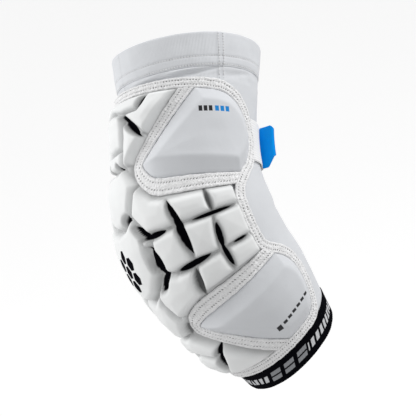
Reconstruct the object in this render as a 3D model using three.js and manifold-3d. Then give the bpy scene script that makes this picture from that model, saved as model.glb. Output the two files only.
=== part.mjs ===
// Lacrosse arm pad, held bent as it is worn: an elastic sleeve that carries a segmented elbow pad,
// four fabric side pads, their seam tapes, an edge binding, a cuff and a closing strap.
// Millimetres, +Z up along the upper arm, -X behind the elbow, -Y the outer side.
// The origin is the middle of the elbow bend, on the axis of the arm.
import * as THREE from 'three';
import { mergeVertices } from 'three/addons/utils/BufferGeometryUtils.js';
import Module from 'manifold-3d';

const wasm = await Module();
wasm.setup();

// Arm that the sleeve is shaped to
const elbowBend = 43; // degrees
const bendRadius = 110;
const upperLength = 140;
const lowerLength = 123;
const rimRadius = 64;
const elbowRadius = 58;
const cuffRadius = 46;
const rimLean = 4.5; // the rim stands lower behind than in front
const rimBow = 2.5; // and higher at both sides
const cuffLean = 5; // the cuff reaches further behind than in front

// Cloth and elastic
const sleeveWall = 1.6;
const hemDepth = 27;
const hemProud = 0.7;
const cuffDepth = 20;
const cuffProud = 0.6;
const clearance = 0.45;
const seamClearance = 0.75; // beside the seam tapes, whose faces are straight chords
const layerGap = 0.6;

// Padding and tapes
const padTurn = -10; // the padding sits turned this far round to the inner side, degrees
const padSpread = 92.5; // half of the elbow pad's reach round the arm, degrees
const liningThickness = 1;
const webThickness = 3;
const blockHeight = 7.5;
const capRise = 1.5; // the elbow cap stands this much higher than the other blocks
const grooveWidth = 2.4;
const blockBevel = 3;
const largeBlock = 500; // square millimetres of face that need a ring of their own
const slitFloor = 1.6;
const cutBelow = 6; // cutters start this far under the sleeve's face
const cutAbove = 24; // and end this far over it
const bindingWidth = 8;
const bindingThickness = 2.7;
const tapeWidth = 8.5;
const tapeThickness = 3.4;
const tapeLift = 0.3; // the straight tapes stand this much further off the round sleeve
const sidePadHeight = 10.5;
const sidePadEdge = 3;
const sidePadFace = 0.76; // share of a side pad's outline that its raised face keeps
const sidePadDish = 1.1; // the middle of a side pad's underside stands this far off the sleeve

// Strap
const strapWidth = 34;
const strapHeight = 0.436; // share of the upper length, from the elbow to the strap's middle
const strapThickness = 1.3;
const landingEnd = 180; // degrees round from the elbow
const strapEnd = 153;
const tabLength = 12.5;
const tabThickness = 1.8;
const tabPeel = 45; // degrees away from the sleeve
const tabChamfer = 8;

// Spacing of the faces
const alongStep = 12;
const padAlongStep = 14;
const aroundStep = 12;
const edgeStep = 10;
const blockEdgeStep = 19;
const cornerSteps = 3;

// Half depths of the sleeve: at is the share of the upper or lower length from the elbow
const SECTIONS = [
  { at: -1.00, of: rimRadius, back: 0.955, front: 1.01, side: 0.85 },
  { at: -0.45, of: elbowRadius, back: 0.93, front: 0.93, side: 0.88 },
  { at: 0.00, of: elbowRadius, back: 1.02, front: 0.98, side: 1.03 },
  { at: 0.45, of: elbowRadius, back: 1.00, front: 0.93, side: 0.97 },
  { at: 1.00, of: cuffRadius, back: 1.10, front: 0.83, side: 1.00 },
];

// Soft folds of the sleeve: at as above, round and reach in degrees, width and depth as shares
// of the sleeve's radius at the elbow
const FOLDS = [
  { at: -0.765, round: 75, reach: 34, width: 0.07, depth: 0.020 },
  { at: -0.740, round: 28, reach: 26, width: 0.06, depth: 0.016 },
  { at: -0.20, round: 180, reach: 40, width: 0.14, depth: 0.030 },
  { at: 0.08, round: 180, reach: 48, width: 0.16, depth: 0.040 },
  { at: 0.36, round: 180, reach: 40, width: 0.14, depth: 0.030 },
];

// Inner edge of the binding, down the outer side from the middle of the back to the middle again.
// In this table and the next ones round is a share of padSpread from the middle of the padding.
const EDGE = [
  { at: -0.693, round: 0 },
  { at: -0.693, round: 0.324 },
  { at: -0.693, round: 0.649 },
  { at: -0.690, round: 0.865 },
  { at: -0.680, round: 1.038 },
  { at: -0.643, round: 1.146 },
  { at: -0.586, round: 1.222 },
  { at: -0.514, round: 1.276 },
  { at: -0.436, round: 1.303 },
  { at: -0.357, round: 1.281 },
  { at: -0.286, round: 1.222 },
  { at: -0.221, round: 1.124 },
  { at: -0.157, round: 1.043 },
  { at: -0.090, round: 1.005 },
  { at: 0.000, round: 1.005 },
  { at: 0.105, round: 1.005 },
  { at: 0.220, round: 1.005 },
  { at: 0.276, round: 1.059 },
  { at: 0.341, round: 1.146 },
  { at: 0.423, round: 1.205 },
  { at: 0.528, round: 1.211 },
  { at: 0.642, round: 1.178 },
  { at: 0.724, round: 1.130 },
  { at: 0.772, round: 1.059 },
  { at: 0.772, round: 0.865 },
  { at: 0.772, round: 0.605 },
  { at: 0.772, round: 0.303 },
];

// Seam between the elbow pad and each side pad; EDGE closes the pad's bay on its other sides
const SIDE_PADS = [
  {
    name: 'upper',
    seam: [
      { at: -0.693, round: 0.676 },
      { at: -0.322, round: 0.195, corner: 8 },
      { at: -0.246, round: 0.216, corner: 8 },
      { at: -0.170, round: 0.378, corner: 9 },
      { at: -0.157, round: 1.000 },
    ],
  },
  {
    name: 'lower',
    seam: [
      { at: 0.772, round: 0.616 },
      { at: 0.423, round: 0.103, corner: 8 },
      { at: 0.317, round: 0.151, corner: 9 },
      { at: 0.260, round: 0.368, corner: 16 },
      { at: 0.232, round: 1.005 },
    ],
  },
];

// Places where the cut lines of the elbow pad meet
const CROSSINGS = {
  topMiddle: { at: -0.689, round: 0 },
  topSlit: { at: -0.689, round: 0.432 },
  topSeam: { at: -0.689, round: 0.670 },
  brow: { at: -0.629, round: 0 },
  browSide: { at: -0.600, round: 0.162 },
  browSlit: { at: -0.607, round: 0.324 },
  upperSeam: { at: -0.450, round: 0.389 },
  neck: { at: -0.400, round: 0 },
  neckSide: { at: -0.407, round: 0.141 },
  throat: { at: -0.293, round: 0 },
  throatSide: { at: -0.300, round: 0.141 },
  noseSeam: { at: -0.310, round: 0.216 },
  chinSeam: { at: -0.236, round: 0.259 },
  crown: { at: -0.086, round: 0 },
  crownSlit: { at: -0.096, round: 0.108 },
  crownSide: { at: -0.125, round: 0.184 },
  seamTurn: { at: -0.170, round: 0.389 },
  longSlitTop: { at: -0.157, round: 0.486 },
  longSlitMiddle: { at: -0.053, round: 0.551 },
  capSide: { at: -0.043, round: 0.314 },
  capWaist: { at: 0.098, round: 0.270 },
  capCorner: { at: 0.171, round: 0.130 },
  capFoot: { at: 0.203, round: 0 },
  crossSlit: { at: 0.120, round: 0.389 },
  longSlitFoot: { at: 0.108, round: 0.551 },
  lowerSeam: { at: 0.245, round: 0.476 },
  lowerTurn: { at: 0.309, round: 0.195 },
  shinSide: { at: 0.220, round: 0.130 },
  tipTop: { at: 0.350, round: 0.119 },
  tipFoot: { at: 0.415, round: 0.086 },
  shinFoot: { at: 0.431, round: 0 },
  tipTurn: { at: 0.455, round: 0.130 },
  footSlitTop: { at: 0.549, round: 0.281 },
  footSlitMiddle: { at: 0.618, round: 0.205 },
  footFold: { at: 0.570, round: 0 },
  footSlitFoot: { at: 0.768, round: 0.097 },
  footMiddle: { at: 0.768, round: 0 },
  footSeam: { at: 0.768, round: 0.595 },
  flankSeam: { at: -0.157, round: 0.789 },
  flankEdge: { at: -0.157, round: 0.995 },
  flankMiddle: { at: -0.057, round: 0.789 },
  flankMiddleEdge: { at: -0.061, round: 0.995 },
  flankLow: { at: 0.108, round: 0.741 },
  flankLowEdge: { at: 0.108, round: 0.995 },
  flankFoot: { at: 0.228, round: 0.768 },
  flankFootEdge: { at: 0.228, round: 0.995 },
};

// Blocks of the elbow pad between those places; a middle block is mirrored onto the inner side
const BLOCKS = [
  { middle: true, corners: ['topMiddle', 'topSlit', 'browSlit', 'browSide', 'brow'] },
  { middle: true, corners: ['brow', 'browSide', 'neckSide', 'neck'] },
  { middle: true, corners: ['neck', 'neckSide', 'throatSide', 'throat'] },
  { middle: true, corners: ['throat', 'throatSide', 'chinSeam', 'crownSide', 'crownSlit', 'crown'] },
  { middle: true, cap: true,
    corners: ['crown', 'crownSlit', 'crownSide', 'capSide', 'capWaist', 'capCorner', 'capFoot'] },
  { middle: true, corners: ['capFoot', 'capCorner', 'shinSide', 'lowerTurn', 'tipTop', 'tipFoot', 'shinFoot'] },
  { middle: true, corners: ['shinFoot', 'tipFoot', 'tipTurn', 'footSlitTop', 'footSlitMiddle', 'footFold'] },
  { middle: true, corners: ['footFold', 'footSlitMiddle', 'footSlitFoot', 'footMiddle'] },
  { corners: ['topSlit', 'topSeam', 'upperSeam', 'browSide', 'browSlit'] },
  { corners: ['browSide', 'upperSeam', 'noseSeam', 'throatSide', 'neckSide'] },
  { corners: ['chinSeam', 'seamTurn', 'longSlitTop', 'longSlitMiddle', 'capSide', 'crownSide'] },
  { corners: ['capSide', 'longSlitMiddle', 'longSlitFoot', 'crossSlit', 'capWaist'] },
  { corners: ['capWaist', 'crossSlit', 'longSlitFoot', 'lowerSeam', 'lowerTurn', 'shinSide', 'capCorner'] },
  { corners: ['footSlitTop', 'footSeam', 'footSlitFoot', 'footSlitMiddle'] },
  { corners: ['longSlitTop', 'flankSeam', 'flankMiddle', 'longSlitMiddle'] },
  { corners: ['flankSeam', 'flankEdge', 'flankMiddleEdge', 'flankMiddle'] },
  { corners: ['longSlitMiddle', 'flankMiddle', 'flankLow', 'longSlitFoot'] },
  { corners: ['flankMiddle', 'flankMiddleEdge', 'flankLowEdge', 'flankLow'] },
  { corners: ['flankLow', 'flankLowEdge', 'flankFootEdge', 'flankFoot'] },
  { corners: ['longSlitFoot', 'flankLow', 'flankFoot', 'lowerSeam'] },
];

// Slits right through the elbow pad, each a pointed leaf between two places
const SLITS = [
  { from: { at: -0.665, round: 0.422 }, to: { at: -0.600, round: 0.335 }, width: 1.4 },
  { from: { at: -0.594, round: 0.173 }, to: { at: -0.452, round: 0.368 }, width: 3.6 },
  { from: { at: -0.325, round: 0.130 }, to: { at: -0.290, round: 0.141 }, width: 1.8 },
  { from: { at: -0.122, round: 0.184 }, to: { at: -0.098, round: 0.108 }, width: 2.4 },
  { from: { at: -0.088, round: 0.249 }, to: { at: -0.040, round: 0.335 }, width: 3.2 },
  { from: { at: -0.043, round: 0.314 }, to: { at: -0.045, round: 0.465 }, width: 3.2 },
  { from: { at: -0.145, round: 0.497 }, to: { at: 0.070, round: 0.562 }, width: 6.0 },
  { from: { at: 0.008, round: 0.303 }, to: { at: 0.118, round: 0.335 }, width: 4.0 },
  { from: { at: 0.110, round: 0.335 }, to: { at: 0.160, round: 0.227 }, width: 3.4 },
  { from: { at: 0.116, round: 0.400 }, to: { at: 0.106, round: 0.670 }, width: 3.0 },
  { from: { at: -0.052, round: 0.605 }, to: { at: -0.058, round: 0.908 }, width: 2.6 },
  { from: { at: -0.010, round: 0.768 }, to: { at: 0.200, round: 0.746 }, width: 3.4 },
  { from: { at: 0.108, round: 0.822 }, to: { at: 0.108, round: 0.941 }, width: 1.6 },
  { from: { at: 0.560, round: 0.270 }, to: { at: 0.690, round: 0.130 }, width: 3.6 },
];

const rad = THREE.MathUtils.degToRad;
const bend = rad(elbowBend);
const bendCentre = new THREE.Vector3(bendRadius * Math.cos(bend / 2), 0, bendRadius * Math.sin(bend / 2));
const halfBendLength = bendRadius * bend / 2;
const padAway = layerGap + liningThickness + layerGap;
const webTop = padAway + webThickness;
const blockTop = webTop + blockHeight;
const millimetresPerDegree = rad(elbowRadius);

// Smooth value of a table's column between its rows, never past them
function between(rows, column, at) {
  const last = rows.length - 1;
  const value = (i) => rows[i][column] * rows[i].of;
  const rise = (i) => (value(i + 1) - value(i)) / (rows[i + 1].at - rows[i].at);
  const slope = (i) => {
    if (i === 0) return rise(0);
    if (i === last) return rise(last - 1);
    const before = rise(i - 1);
    const after = rise(i);
    return before * after <= 0 ? 0 : 2 * before * after / (before + after);
  };
  const x = Math.min(Math.max(at, rows[0].at), rows[last].at);
  let i = 0;
  while (i < last - 1 && x > rows[i + 1].at) i += 1;
  const span = rows[i + 1].at - rows[i].at;
  const u = (x - rows[i].at) / span;
  const start = (1 + 2 * u) * (1 - u) ** 2 * value(i) + u * (1 - u) ** 2 * span * slope(i);
  return start + u * u * (3 - 2 * u) * value(i + 1) + u * u * (u - 1) * span * slope(i + 1);
}

const alongOf = (at) => at * (at < 0 ? upperLength : lowerLength);
const roundOf = (round) => round * padSpread;
const padTop = alongOf(EDGE[0].at) + clearance;
const padBottom = alongOf(EDGE.at(-1).at) - clearance;
const shareOf = (along) => along / (along < 0 ? upperLength : lowerLength);

// How far the stations lean: nothing on the padding, all of it at the rim and the cuff
function lean(along, angle) {
  if (along < 0) {
    const rim = rimLean * Math.cos(angle) - rimBow * Math.sin(angle) ** 2;
    return rim * THREE.MathUtils.smoothstep(-shareOf(along), 0.7, 0.83);
  }
  return cuffLean * Math.cos(angle) * THREE.MathUtils.smoothstep(shareOf(along), 0.5, 0.77);
}

// A place on the arm: along from the elbow towards the hand, round from the back of the elbow by
// the outer side in degrees, and out from the sleeve's face
function place(along, round, out) {
  const angle = rad(round);
  const station = along + lean(along, angle);
  const turn = THREE.MathUtils.clamp(bend / 2 + station / bendRadius, 0, bend);
  const beyond = station - THREE.MathUtils.clamp(station, -halfBendLength, halfBendLength);
  const backward = new THREE.Vector3(-Math.cos(turn), 0, -Math.sin(turn));
  const handward = new THREE.Vector3(Math.sin(turn), 0, -Math.cos(turn));
  const share = shareOf(along);
  const depth = between(SECTIONS, Math.cos(angle) > 0 ? 'back' : 'front', share) + out;
  const width = between(SECTIONS, 'side', share) + out;
  return bendCentre.clone()
    .addScaledVector(backward, bendRadius + depth * Math.cos(angle))
    .addScaledVector(handward, beyond)
    .add(new THREE.Vector3(0, -width * Math.sin(angle), 0));
}

const onPad = (along, round, out) => place(along, round + padTurn, out);

// How far the sleeve dips into its folds at a place
function foldDepth(along, round) {
  let depth = 0;
  for (const fold of FOLDS) {
    const across = (along - alongOf(fold.at)) / (fold.width * elbowRadius);
    const turn = ((round - fold.round + 540) % 360) - 180;
    const sideways = turn / fold.reach;
    if (Math.abs(across) < 1 && Math.abs(sideways) < 1) {
      depth += fold.depth * elbowRadius * (Math.cos(Math.PI * across) + 1) / 2 * (1 - sideways ** 2);
    }
  }
  return depth;
}

// Rings of points joined into one closed body: round in a loop, or shut by a fan at each end
function loft(rings, looped) {
  const points = rings.flat();
  const faces = [];
  const count = rings[0].length;
  const bands = looped ? rings.length : rings.length - 1;
  for (let i = 0; i < bands; i += 1) {
    const here = i * count;
    const next = ((i + 1) % rings.length) * count;
    for (let j = 0; j < count; j += 1) {
      const k = (j + 1) % count;
      faces.push(here + j, here + k, next + k, here + j, next + k, next + j);
    }
  }
  if (!looped) {
    for (const [start, turned] of [[0, true], [(rings.length - 1) * count, false]]) {
      const middle = points.length;
      const sum = new THREE.Vector3();
      for (let j = 0; j < count; j += 1) sum.add(points[start + j]);
      points.push(sum.divideScalar(count));
      for (let j = 0; j < count; j += 1) {
        const k = (j + 1) % count;
        faces.push(middle, start + (turned ? k : j), start + (turned ? j : k));
      }
    }
  }
  return facingOut(points, faces);
}

// Turns the faces round where they enclose the body inside out
function facingOut(points, faces) {
  let volume = 0;
  for (let i = 0; i < faces.length; i += 3) {
    const [a, b, c] = [points[faces[i]], points[faces[i + 1]], points[faces[i + 2]]];
    volume += a.dot(b.clone().cross(c));
  }
  if (volume < 0) {
    for (let i = 0; i < faces.length; i += 3) [faces[i + 1], faces[i + 2]] = [faces[i + 2], faces[i + 1]];
  }
  const geometry = new THREE.BufferGeometry();
  geometry.setAttribute('position', new THREE.Float32BufferAttribute(points.flatMap((p) => p.toArray()), 3));
  geometry.setIndex(faces);
  return geometry;
}

function toManifold(geometry) {
  const merged = mergeVertices(geometry, 1e-4);
  return new wasm.Manifold(new wasm.Mesh({
    numProp: 3,
    vertProperties: Float32Array.from(merged.attributes.position.array),
    triVerts: Uint32Array.from(merged.index.array),
  }));
}

function fromManifold(manifold) {
  const mesh = manifold.getMesh();
  const geometry = new THREE.BufferGeometry();
  geometry.setAttribute('position', new THREE.Float32BufferAttribute(mesh.vertProperties, 3));
  geometry.setIndex(Array.from(mesh.triVerts));
  return geometry;
}

// Values from start to end, with the inner ones on one shared grid
function gridBetween(start, end, step) {
  const values = [start];
  for (let value = Math.ceil(start / step) * step; value < end; value += step) {
    if (value - start > step / 4 && end - value > step / 4) values.push(value);
  }
  values.push(end);
  return values;
}

// A flat pattern's corner, with along and round turned into millimetres
const corner = (row) => ({
  x: alongOf(row.at),
  y: roundOf(row.round) * millimetresPerDegree,
  radius: row.corner ?? 0,
});

const mirrored = (outline) => outline.map((p) => ({ ...p, y: -p.y })).reverse();

// Area of a flat outline, positive where it runs anticlockwise
const flatArea = (outline) => outline.reduce((sum, p, i) => {
  const q = outline[(i + 1) % outline.length];
  return sum + (p.x * q.y - q.x * p.y) / 2;
}, 0);

// A flat outline moved inwards, by its own distance at each edge
function inset(outline, distance) {
  const sign = Math.sign(flatArea(outline));
  const shifted = outline.map((p, i) => {
    const q = outline[(i + 1) % outline.length];
    const length = Math.hypot(q.x - p.x, q.y - p.y);
    const away = typeof distance === 'function' ? distance(i) : distance;
    const normal = { x: -(q.y - p.y) / length * sign, y: (q.x - p.x) / length * sign };
    return {
      x: p.x + normal.x * away,
      y: p.y + normal.y * away,
      dx: (q.x - p.x) / length,
      dy: (q.y - p.y) / length,
    };
  });
  return outline.map((p, i) => {
    const a = shifted[(i + outline.length - 1) % outline.length];
    const b = shifted[i];
    const cross = a.dx * b.dy - a.dy * b.dx;
    if (Math.abs(cross) < 0.05) return { ...p, x: b.x, y: b.y };
    const reach = ((b.x - a.x) * b.dy - (b.y - a.y) * b.dx) / cross;
    return { ...p, x: a.x + a.dx * reach, y: a.y + a.dy * reach };
  });
}

// A flat outline with its corners rounded; pieces says how many parts each straight is cut into
function rounded(outline, pieces) {
  const points = [];
  const towards = (p, q, distance) => {
    const length = Math.hypot(q.x - p.x, q.y - p.y);
    const share = Math.min(distance / length, 0.45);
    return { x: p.x + (q.x - p.x) * share, y: p.y + (q.y - p.y) * share };
  };
  outline.forEach((p, i) => {
    const previous = outline[(i + outline.length - 1) % outline.length];
    const next = outline[(i + 1) % outline.length];
    const leave = p.radius > 0 ? towards(p, next, p.radius) : p;
    if (p.radius > 0) {
      const enter = towards(p, previous, p.radius);
      for (let k = 0; k <= cornerSteps; k += 1) {
        const u = k / cornerSteps;
        const [w0, w1, w2] = [(1 - u) ** 2, 2 * u * (1 - u), u * u];
        points.push({
          x: w0 * enter.x + w1 * p.x + w2 * leave.x,
          y: w0 * enter.y + w1 * p.y + w2 * leave.y,
        });
      }
    } else {
      points.push({ x: p.x, y: p.y });
    }
    const stop = next.radius > 0 ? towards(next, p, next.radius) : next;
    for (let k = 1; k < pieces[i]; k += 1) {
      const u = k / pieces[i];
      points.push({ x: leave.x + (stop.x - leave.x) * u, y: leave.y + (stop.y - leave.y) * u });
    }
  });
  return points;
}

const piecesOf = (outline, step = edgeStep) => outline.map((p, i) => {
  const q = outline[(i + 1) % outline.length];
  return Math.max(1, Math.round(Math.hypot(q.x - p.x, q.y - p.y) / step));
});

// A flat outline drawn towards its middle
function shrunk(points, share) {
  const middle = points.reduce((sum, p) => ({ x: sum.x + p.x, y: sum.y + p.y }), { x: 0, y: 0 });
  middle.x /= points.length;
  middle.y /= points.length;
  return points.map((p) => ({
    x: middle.x + (p.x - middle.x) * share,
    y: middle.y + (p.y - middle.y) * share,
  }));
}

const lifted = (points, out) => points.map((p) => onPad(p.x, p.y / millimetresPerDegree, out));

// A sheet of padding between two heights over a stretch of the arm
function sheet(low, high, top, foot) {
  const rounds = gridBetween(-padSpread, padSpread, aroundStep);
  const alongs = gridBetween(top, foot, padAlongStep);
  const section = (round) => [
    ...alongs.map((along) => onPad(along, round, high)),
    ...alongs.toReversed().map((along) => onPad(along, round, low)),
  ];
  const rings = rounds.map(section);
  const count = alongs.length;
  const points = rings.flat();
  const faces = [];
  for (let i = 0; i + 1 < rounds.length; i += 1) {
    for (let j = 0; j < 2 * count; j += 1) {
      const k = (j + 1) % (2 * count);
      const [here, next] = [i * 2 * count, (i + 1) * 2 * count];
      faces.push(here + j, here + k, next + k, here + j, next + k, next + j);
    }
  }
  for (const [start, turned] of [[0, true], [(rounds.length - 1) * 2 * count, false]]) {
    for (let j = 0; j + 1 < count; j += 1) {
      const [a, b] = [start + j, start + j + 1];
      const [c, d] = [start + 2 * count - 2 - j, start + 2 * count - 1 - j];
      faces.push(...(turned ? [a, d, c, a, c, b] : [a, c, d, a, b, c]));
    }
  }
  return facingOut(points, faces);
}

// A block between two heights with sloping sides, over a flat outline
function block(outline, low, high) {
  const pieces = piecesOf(outline, blockEdgeStep);
  const base = rounded(outline, pieces);
  const face = rounded(inset(outline, blockBevel), pieces);
  const rings = [
    lifted(shrunk(base, 0.5), low),
    lifted(base, low),
    lifted(face, high),
  ];
  if (Math.abs(flatArea(outline)) > largeBlock) rings.push(lifted(shrunk(face, 0.5), high));
  return loft(rings, false);
}

// Where a straight path from one flat point through another first meets an outline
function crossing(from, through, outline) {
  const [dx, dy] = [through.x - from.x, through.y - from.y];
  let best = { reach: Infinity };
  outline.forEach((p, index) => {
    const q = outline[(index + 1) % outline.length];
    const [ex, ey] = [q.x - p.x, q.y - p.y];
    const cross = dx * ey - dy * ex;
    const reach = ((p.x - from.x) * ey - (p.y - from.y) * ex) / cross;
    const share = ((p.x - from.x) * dy - (p.y - from.y) * dx) / cross;
    if (reach > 0 && reach < best.reach && share >= 0 && share <= 1) {
      best = { reach, index, point: { x: from.x + dx * reach, y: from.y + dy * reach } };
    }
  });
  return best;
}

// The whole inner edge of the binding as a flat outline
function edgeOutline() {
  const near = EDGE.map(corner);
  return [...near, ...mirrored(near).slice(0, -1)];
}

// Flat outline of a side pad's bay, its seam moved in by one distance and its edge by another
function bayShape(bay, seamAway, edgeAway) {
  const ring = inset(edgeOutline(), edgeAway);
  const seam = bay.seam.map(corner);
  const last = seam.length - 1;
  const drawnOut = (inner, outer) => ({ x: 2 * outer.x - inner.x, y: 2 * outer.y - inner.y });
  const path = [drawnOut(seam[1], seam[0]), ...seam.slice(1, last), drawnOut(seam[last - 1], seam[last])];
  const moved = inset(path, (i) => (i < last ? seamAway : 0));
  const start = crossing(moved[1], moved[0], ring);
  const end = crossing(moved[last - 1], moved[last], ring);
  const closing = start.index < end.index
    ? ring.slice(start.index + 1, end.index + 1).reverse()
    : ring.slice(end.index + 1, start.index + 1);
  return [start.point, ...moved.slice(1, last), end.point, ...closing];
}

// A straight cutter over a bay, through every layer and past the binding's edge
function bayCutter(bay, flip) {
  const grown = bayShape(bay, 0, -bindingWidth / 2);
  const outline = flip ? mirrored(grown) : grown;
  const base = rounded(outline, piecesOf(outline));
  const shares = [0.35, 0.7, 1];
  return loft([
    ...shares.map((share) => lifted(shrunk(base, share), -cutBelow)),
    ...shares.toReversed().map((share) => lifted(shrunk(base, share), cutAbove)),
  ], false);
}

// The seam tape and the padded panel of a bay
function sidePad(bay, flip) {
  const turned = (points) => (flip ? points.map((p) => ({ ...p, y: -p.y })) : points);
  const seamEdges = bay.seam.length - 1;
  const seamPieces = piecesOf(bayShape(bay, 0, 0)).slice(0, seamEdges);
  const outlineAt = (distance) => {
    const outline = bayShape(bay, distance, seamClearance);
    return { outline, pieces: [...seamPieces, ...piecesOf(outline).slice(seamEdges)] };
  };
  const arcPoints = bay.seam.filter((row) => row.corner).length * cornerSteps;
  const strandPoints = arcPoints + seamPieces.reduce((sum, n) => sum + n, 0) + 1;
  const strand = (distance) => {
    const { outline, pieces } = outlineAt(distance);
    return turned(rounded(outline, pieces).slice(0, strandPoints));
  };
  const outer = strand(seamClearance);
  const inner = strand(seamClearance + tapeWidth);
  const low = layerGap;
  const tapeLow = low + tapeLift;
  const tape = loft(outer.map((p, i) => [
    ...lifted([p], tapeLow),
    ...lifted([p], tapeLow + tapeThickness),
    ...lifted([inner[i]], tapeLow + tapeThickness),
    ...lifted([inner[i]], tapeLow),
  ]), false);
  const { outline, pieces } = outlineAt(2 * seamClearance + tapeWidth);
  const base = turned(rounded(outline, pieces));
  const panel = loft([
    lifted(shrunk(base, 0.35), low + sidePadDish),
    lifted(shrunk(base, 0.7), low + sidePadDish),
    lifted(base, low),
    lifted(base, low + sidePadEdge),
    lifted(shrunk(base, sidePadFace), low + sidePadHeight),
    lifted(shrunk(base, sidePadFace / 2), low + sidePadHeight),
  ], false);
  return { tape, panel };
}

// A tube wall between two edges round the arm
function tube(start, end, inner, outer, folds) {
  const alongs = gridBetween(start, end, alongStep);
  const rings = [];
  for (let round = 0; round < 360; round += aroundStep) {
    const dip = (along) => (folds ? foldDepth(along, round) : 0);
    rings.push([
      ...alongs.map((along) => place(along, round, outer - dip(along))),
      ...alongs.toReversed().map((along) => place(along, round, inner - dip(along))),
    ]);
  }
  return loft(rings, true);
}

// The binding follows EDGE down the outer side and back up the inner side
function edgeBinding() {
  const outline = edgeOutline();
  const pieces = piecesOf(outline);
  const shoulder = layerGap + bindingThickness * 0.6;
  const profile = [
    { away: 0, out: layerGap },
    { away: 0, out: shoulder },
    { away: 0.15, out: layerGap + bindingThickness },
    { away: 0.85, out: layerGap + bindingThickness },
    { away: 1, out: shoulder },
    { away: 1, out: layerGap },
  ];
  const strands = profile.map((p) => lifted(rounded(inset(outline, -bindingWidth * p.away), pieces), p.out));
  return loft(strands[0].map((_, i) => strands.map((strand) => strand[i])), true);
}

// A band round the arm: rows give the angle, the height under it and the half width
function band(rows, thickness) {
  return loft(rows.map((row) => [
    place(row.top, row.round, row.out),
    place(row.top, row.round, row.out + thickness),
    place(row.foot, row.round, row.out + thickness),
    place(row.foot, row.round, row.out),
  ]), false);
}

// Every block, cut line and slit of the elbow pad as one moulded piece
function elbowPad() {
  let pad = toManifold(sheet(padAway, webTop, padTop, padBottom));
  const flat = (names) => names.map((name) => corner(CROSSINGS[name]));
  const low = padAway + webThickness / 2;
  for (const row of BLOCKS) {
    const half = flat(row.corners);
    const whole = row.middle ? [...half, ...mirrored(half).filter((p) => Math.abs(p.y) > 0)] : half;
    const outline = inset(whole, grooveWidth / 2);
    const high = blockTop + (row.cap ? capRise : 0);
    pad = pad.add(toManifold(block(outline, low, high)));
    if (!row.middle) pad = pad.add(toManifold(block(mirrored(outline), low, high)));
  }
  for (const bay of SIDE_PADS) {
    for (const flip of [false, true]) pad = pad.subtract(toManifold(bayCutter(bay, flip)));
  }
  for (const slit of SLITS) {
    const [a, b] = [corner(slit.from), corner(slit.to)];
    const length = Math.hypot(b.x - a.x, b.y - a.y);
    const side = { x: -(b.y - a.y) / length * slit.width / 2, y: (b.x - a.x) / length * slit.width / 2 };
    const leaf = [0, 0.35, 0.65, 1, 0.65, 0.35].map((u, i) => {
      const away = i === 0 || i === 3 ? 0 : i < 3 ? 1 : -1;
      return { x: a.x + (b.x - a.x) * u + side.x * away, y: a.y + (b.y - a.y) * u + side.y * away };
    });
    for (const outline of [leaf, mirrored(leaf)]) {
      const shape = lifted(outline, slitFloor);
      const top = lifted(outline, cutAbove);
      pad = pad.subtract(toManifold(loft([shape, top], false)));
    }
  }
  return fromManifold(pad);
}

// The dark lining under the elbow pad, cut back from the bays
function padLining() {
  let lining = toManifold(sheet(layerGap, layerGap + liningThickness, padTop, padBottom));
  for (const bay of SIDE_PADS) {
    for (const flip of [false, true]) lining = lining.subtract(toManifold(bayCutter(bay, flip)));
  }
  return fromManifold(lining);
}

const strapMiddle = alongOf(-strapHeight);
const strapTop = strapMiddle - strapWidth / 2;
const strapFoot = strapMiddle + strapWidth / 2;
const widestEdge = Math.max(...EDGE.map((row) => roundOf(row.round)));
const bindingReach = widestEdge + (bindingWidth + 2 * clearance) / millimetresPerDegree;
const landingOut = layerGap;
const strapOut = landingOut + strapThickness + layerGap;

// The landing runs from the outer binding round the front
function strapLanding() {
  const start = bindingReach + padTurn;
  const rows = gridBetween(start, landingEnd, aroundStep);
  return band(rows.map((round) => ({ round, top: strapTop, foot: strapFoot, out: landingOut })), strapThickness);
}

// The strap runs from the inner binding over the landing
function closingStrap() {
  const start = 360 - bindingReach + padTurn;
  const rows = gridBetween(strapEnd, start, aroundStep);
  const rise = (round) => THREE.MathUtils.smoothstep(landingEnd + 2 * aroundStep - round, 0, aroundStep);
  return band(rows.map((round) => ({
    round,
    top: strapTop,
    foot: strapFoot,
    out: landingOut + (strapOut - landingOut) * rise(round),
  })), strapThickness);
}

// The pull tab leaves the strap's end and stands away from the sleeve
function strapTab() {
  const steps = [0, 0.25, 0.5, 0.75, 0.92, 1];
  const start = strapEnd - clearance / millimetresPerDegree;
  return band(steps.map((share) => {
    const run = share * tabLength;
    const chamfer = Math.max(0, run - (tabLength - tabChamfer));
    const rounding = Math.max(0, run - tabLength * 0.9);
    return {
      round: start - run * Math.cos(rad(tabPeel)) / millimetresPerDegree,
      top: strapTop + rounding,
      foot: strapFoot - chamfer,
      out: strapOut + run * Math.sin(rad(tabPeel)),
    };
  }), tabThickness);
}

const finish = (color, roughness) => new THREE.MeshStandardMaterial({ color, roughness, metalness: 0 });
const whiteKnit = finish(0xdcdee4, 0.85);
const whiteCloth = finish(0xe2e3e8, 0.8);
const whiteTape = finish(0xe9e9ec, 0.85);
const whiteFoam = finish(0xf2f3f3, 0.6);
const blackLining = finish(0x111214, 0.9);
const blackElastic = finish(0x16171b, 0.8);
const blueTab = finish(0x007dc8, 0.45);

const group = new THREE.Group();

function addPiece(name, geometry, material) {
  const mesh = new THREE.Mesh(geometry, material);
  mesh.name = name;
  group.add(mesh);
}

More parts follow.
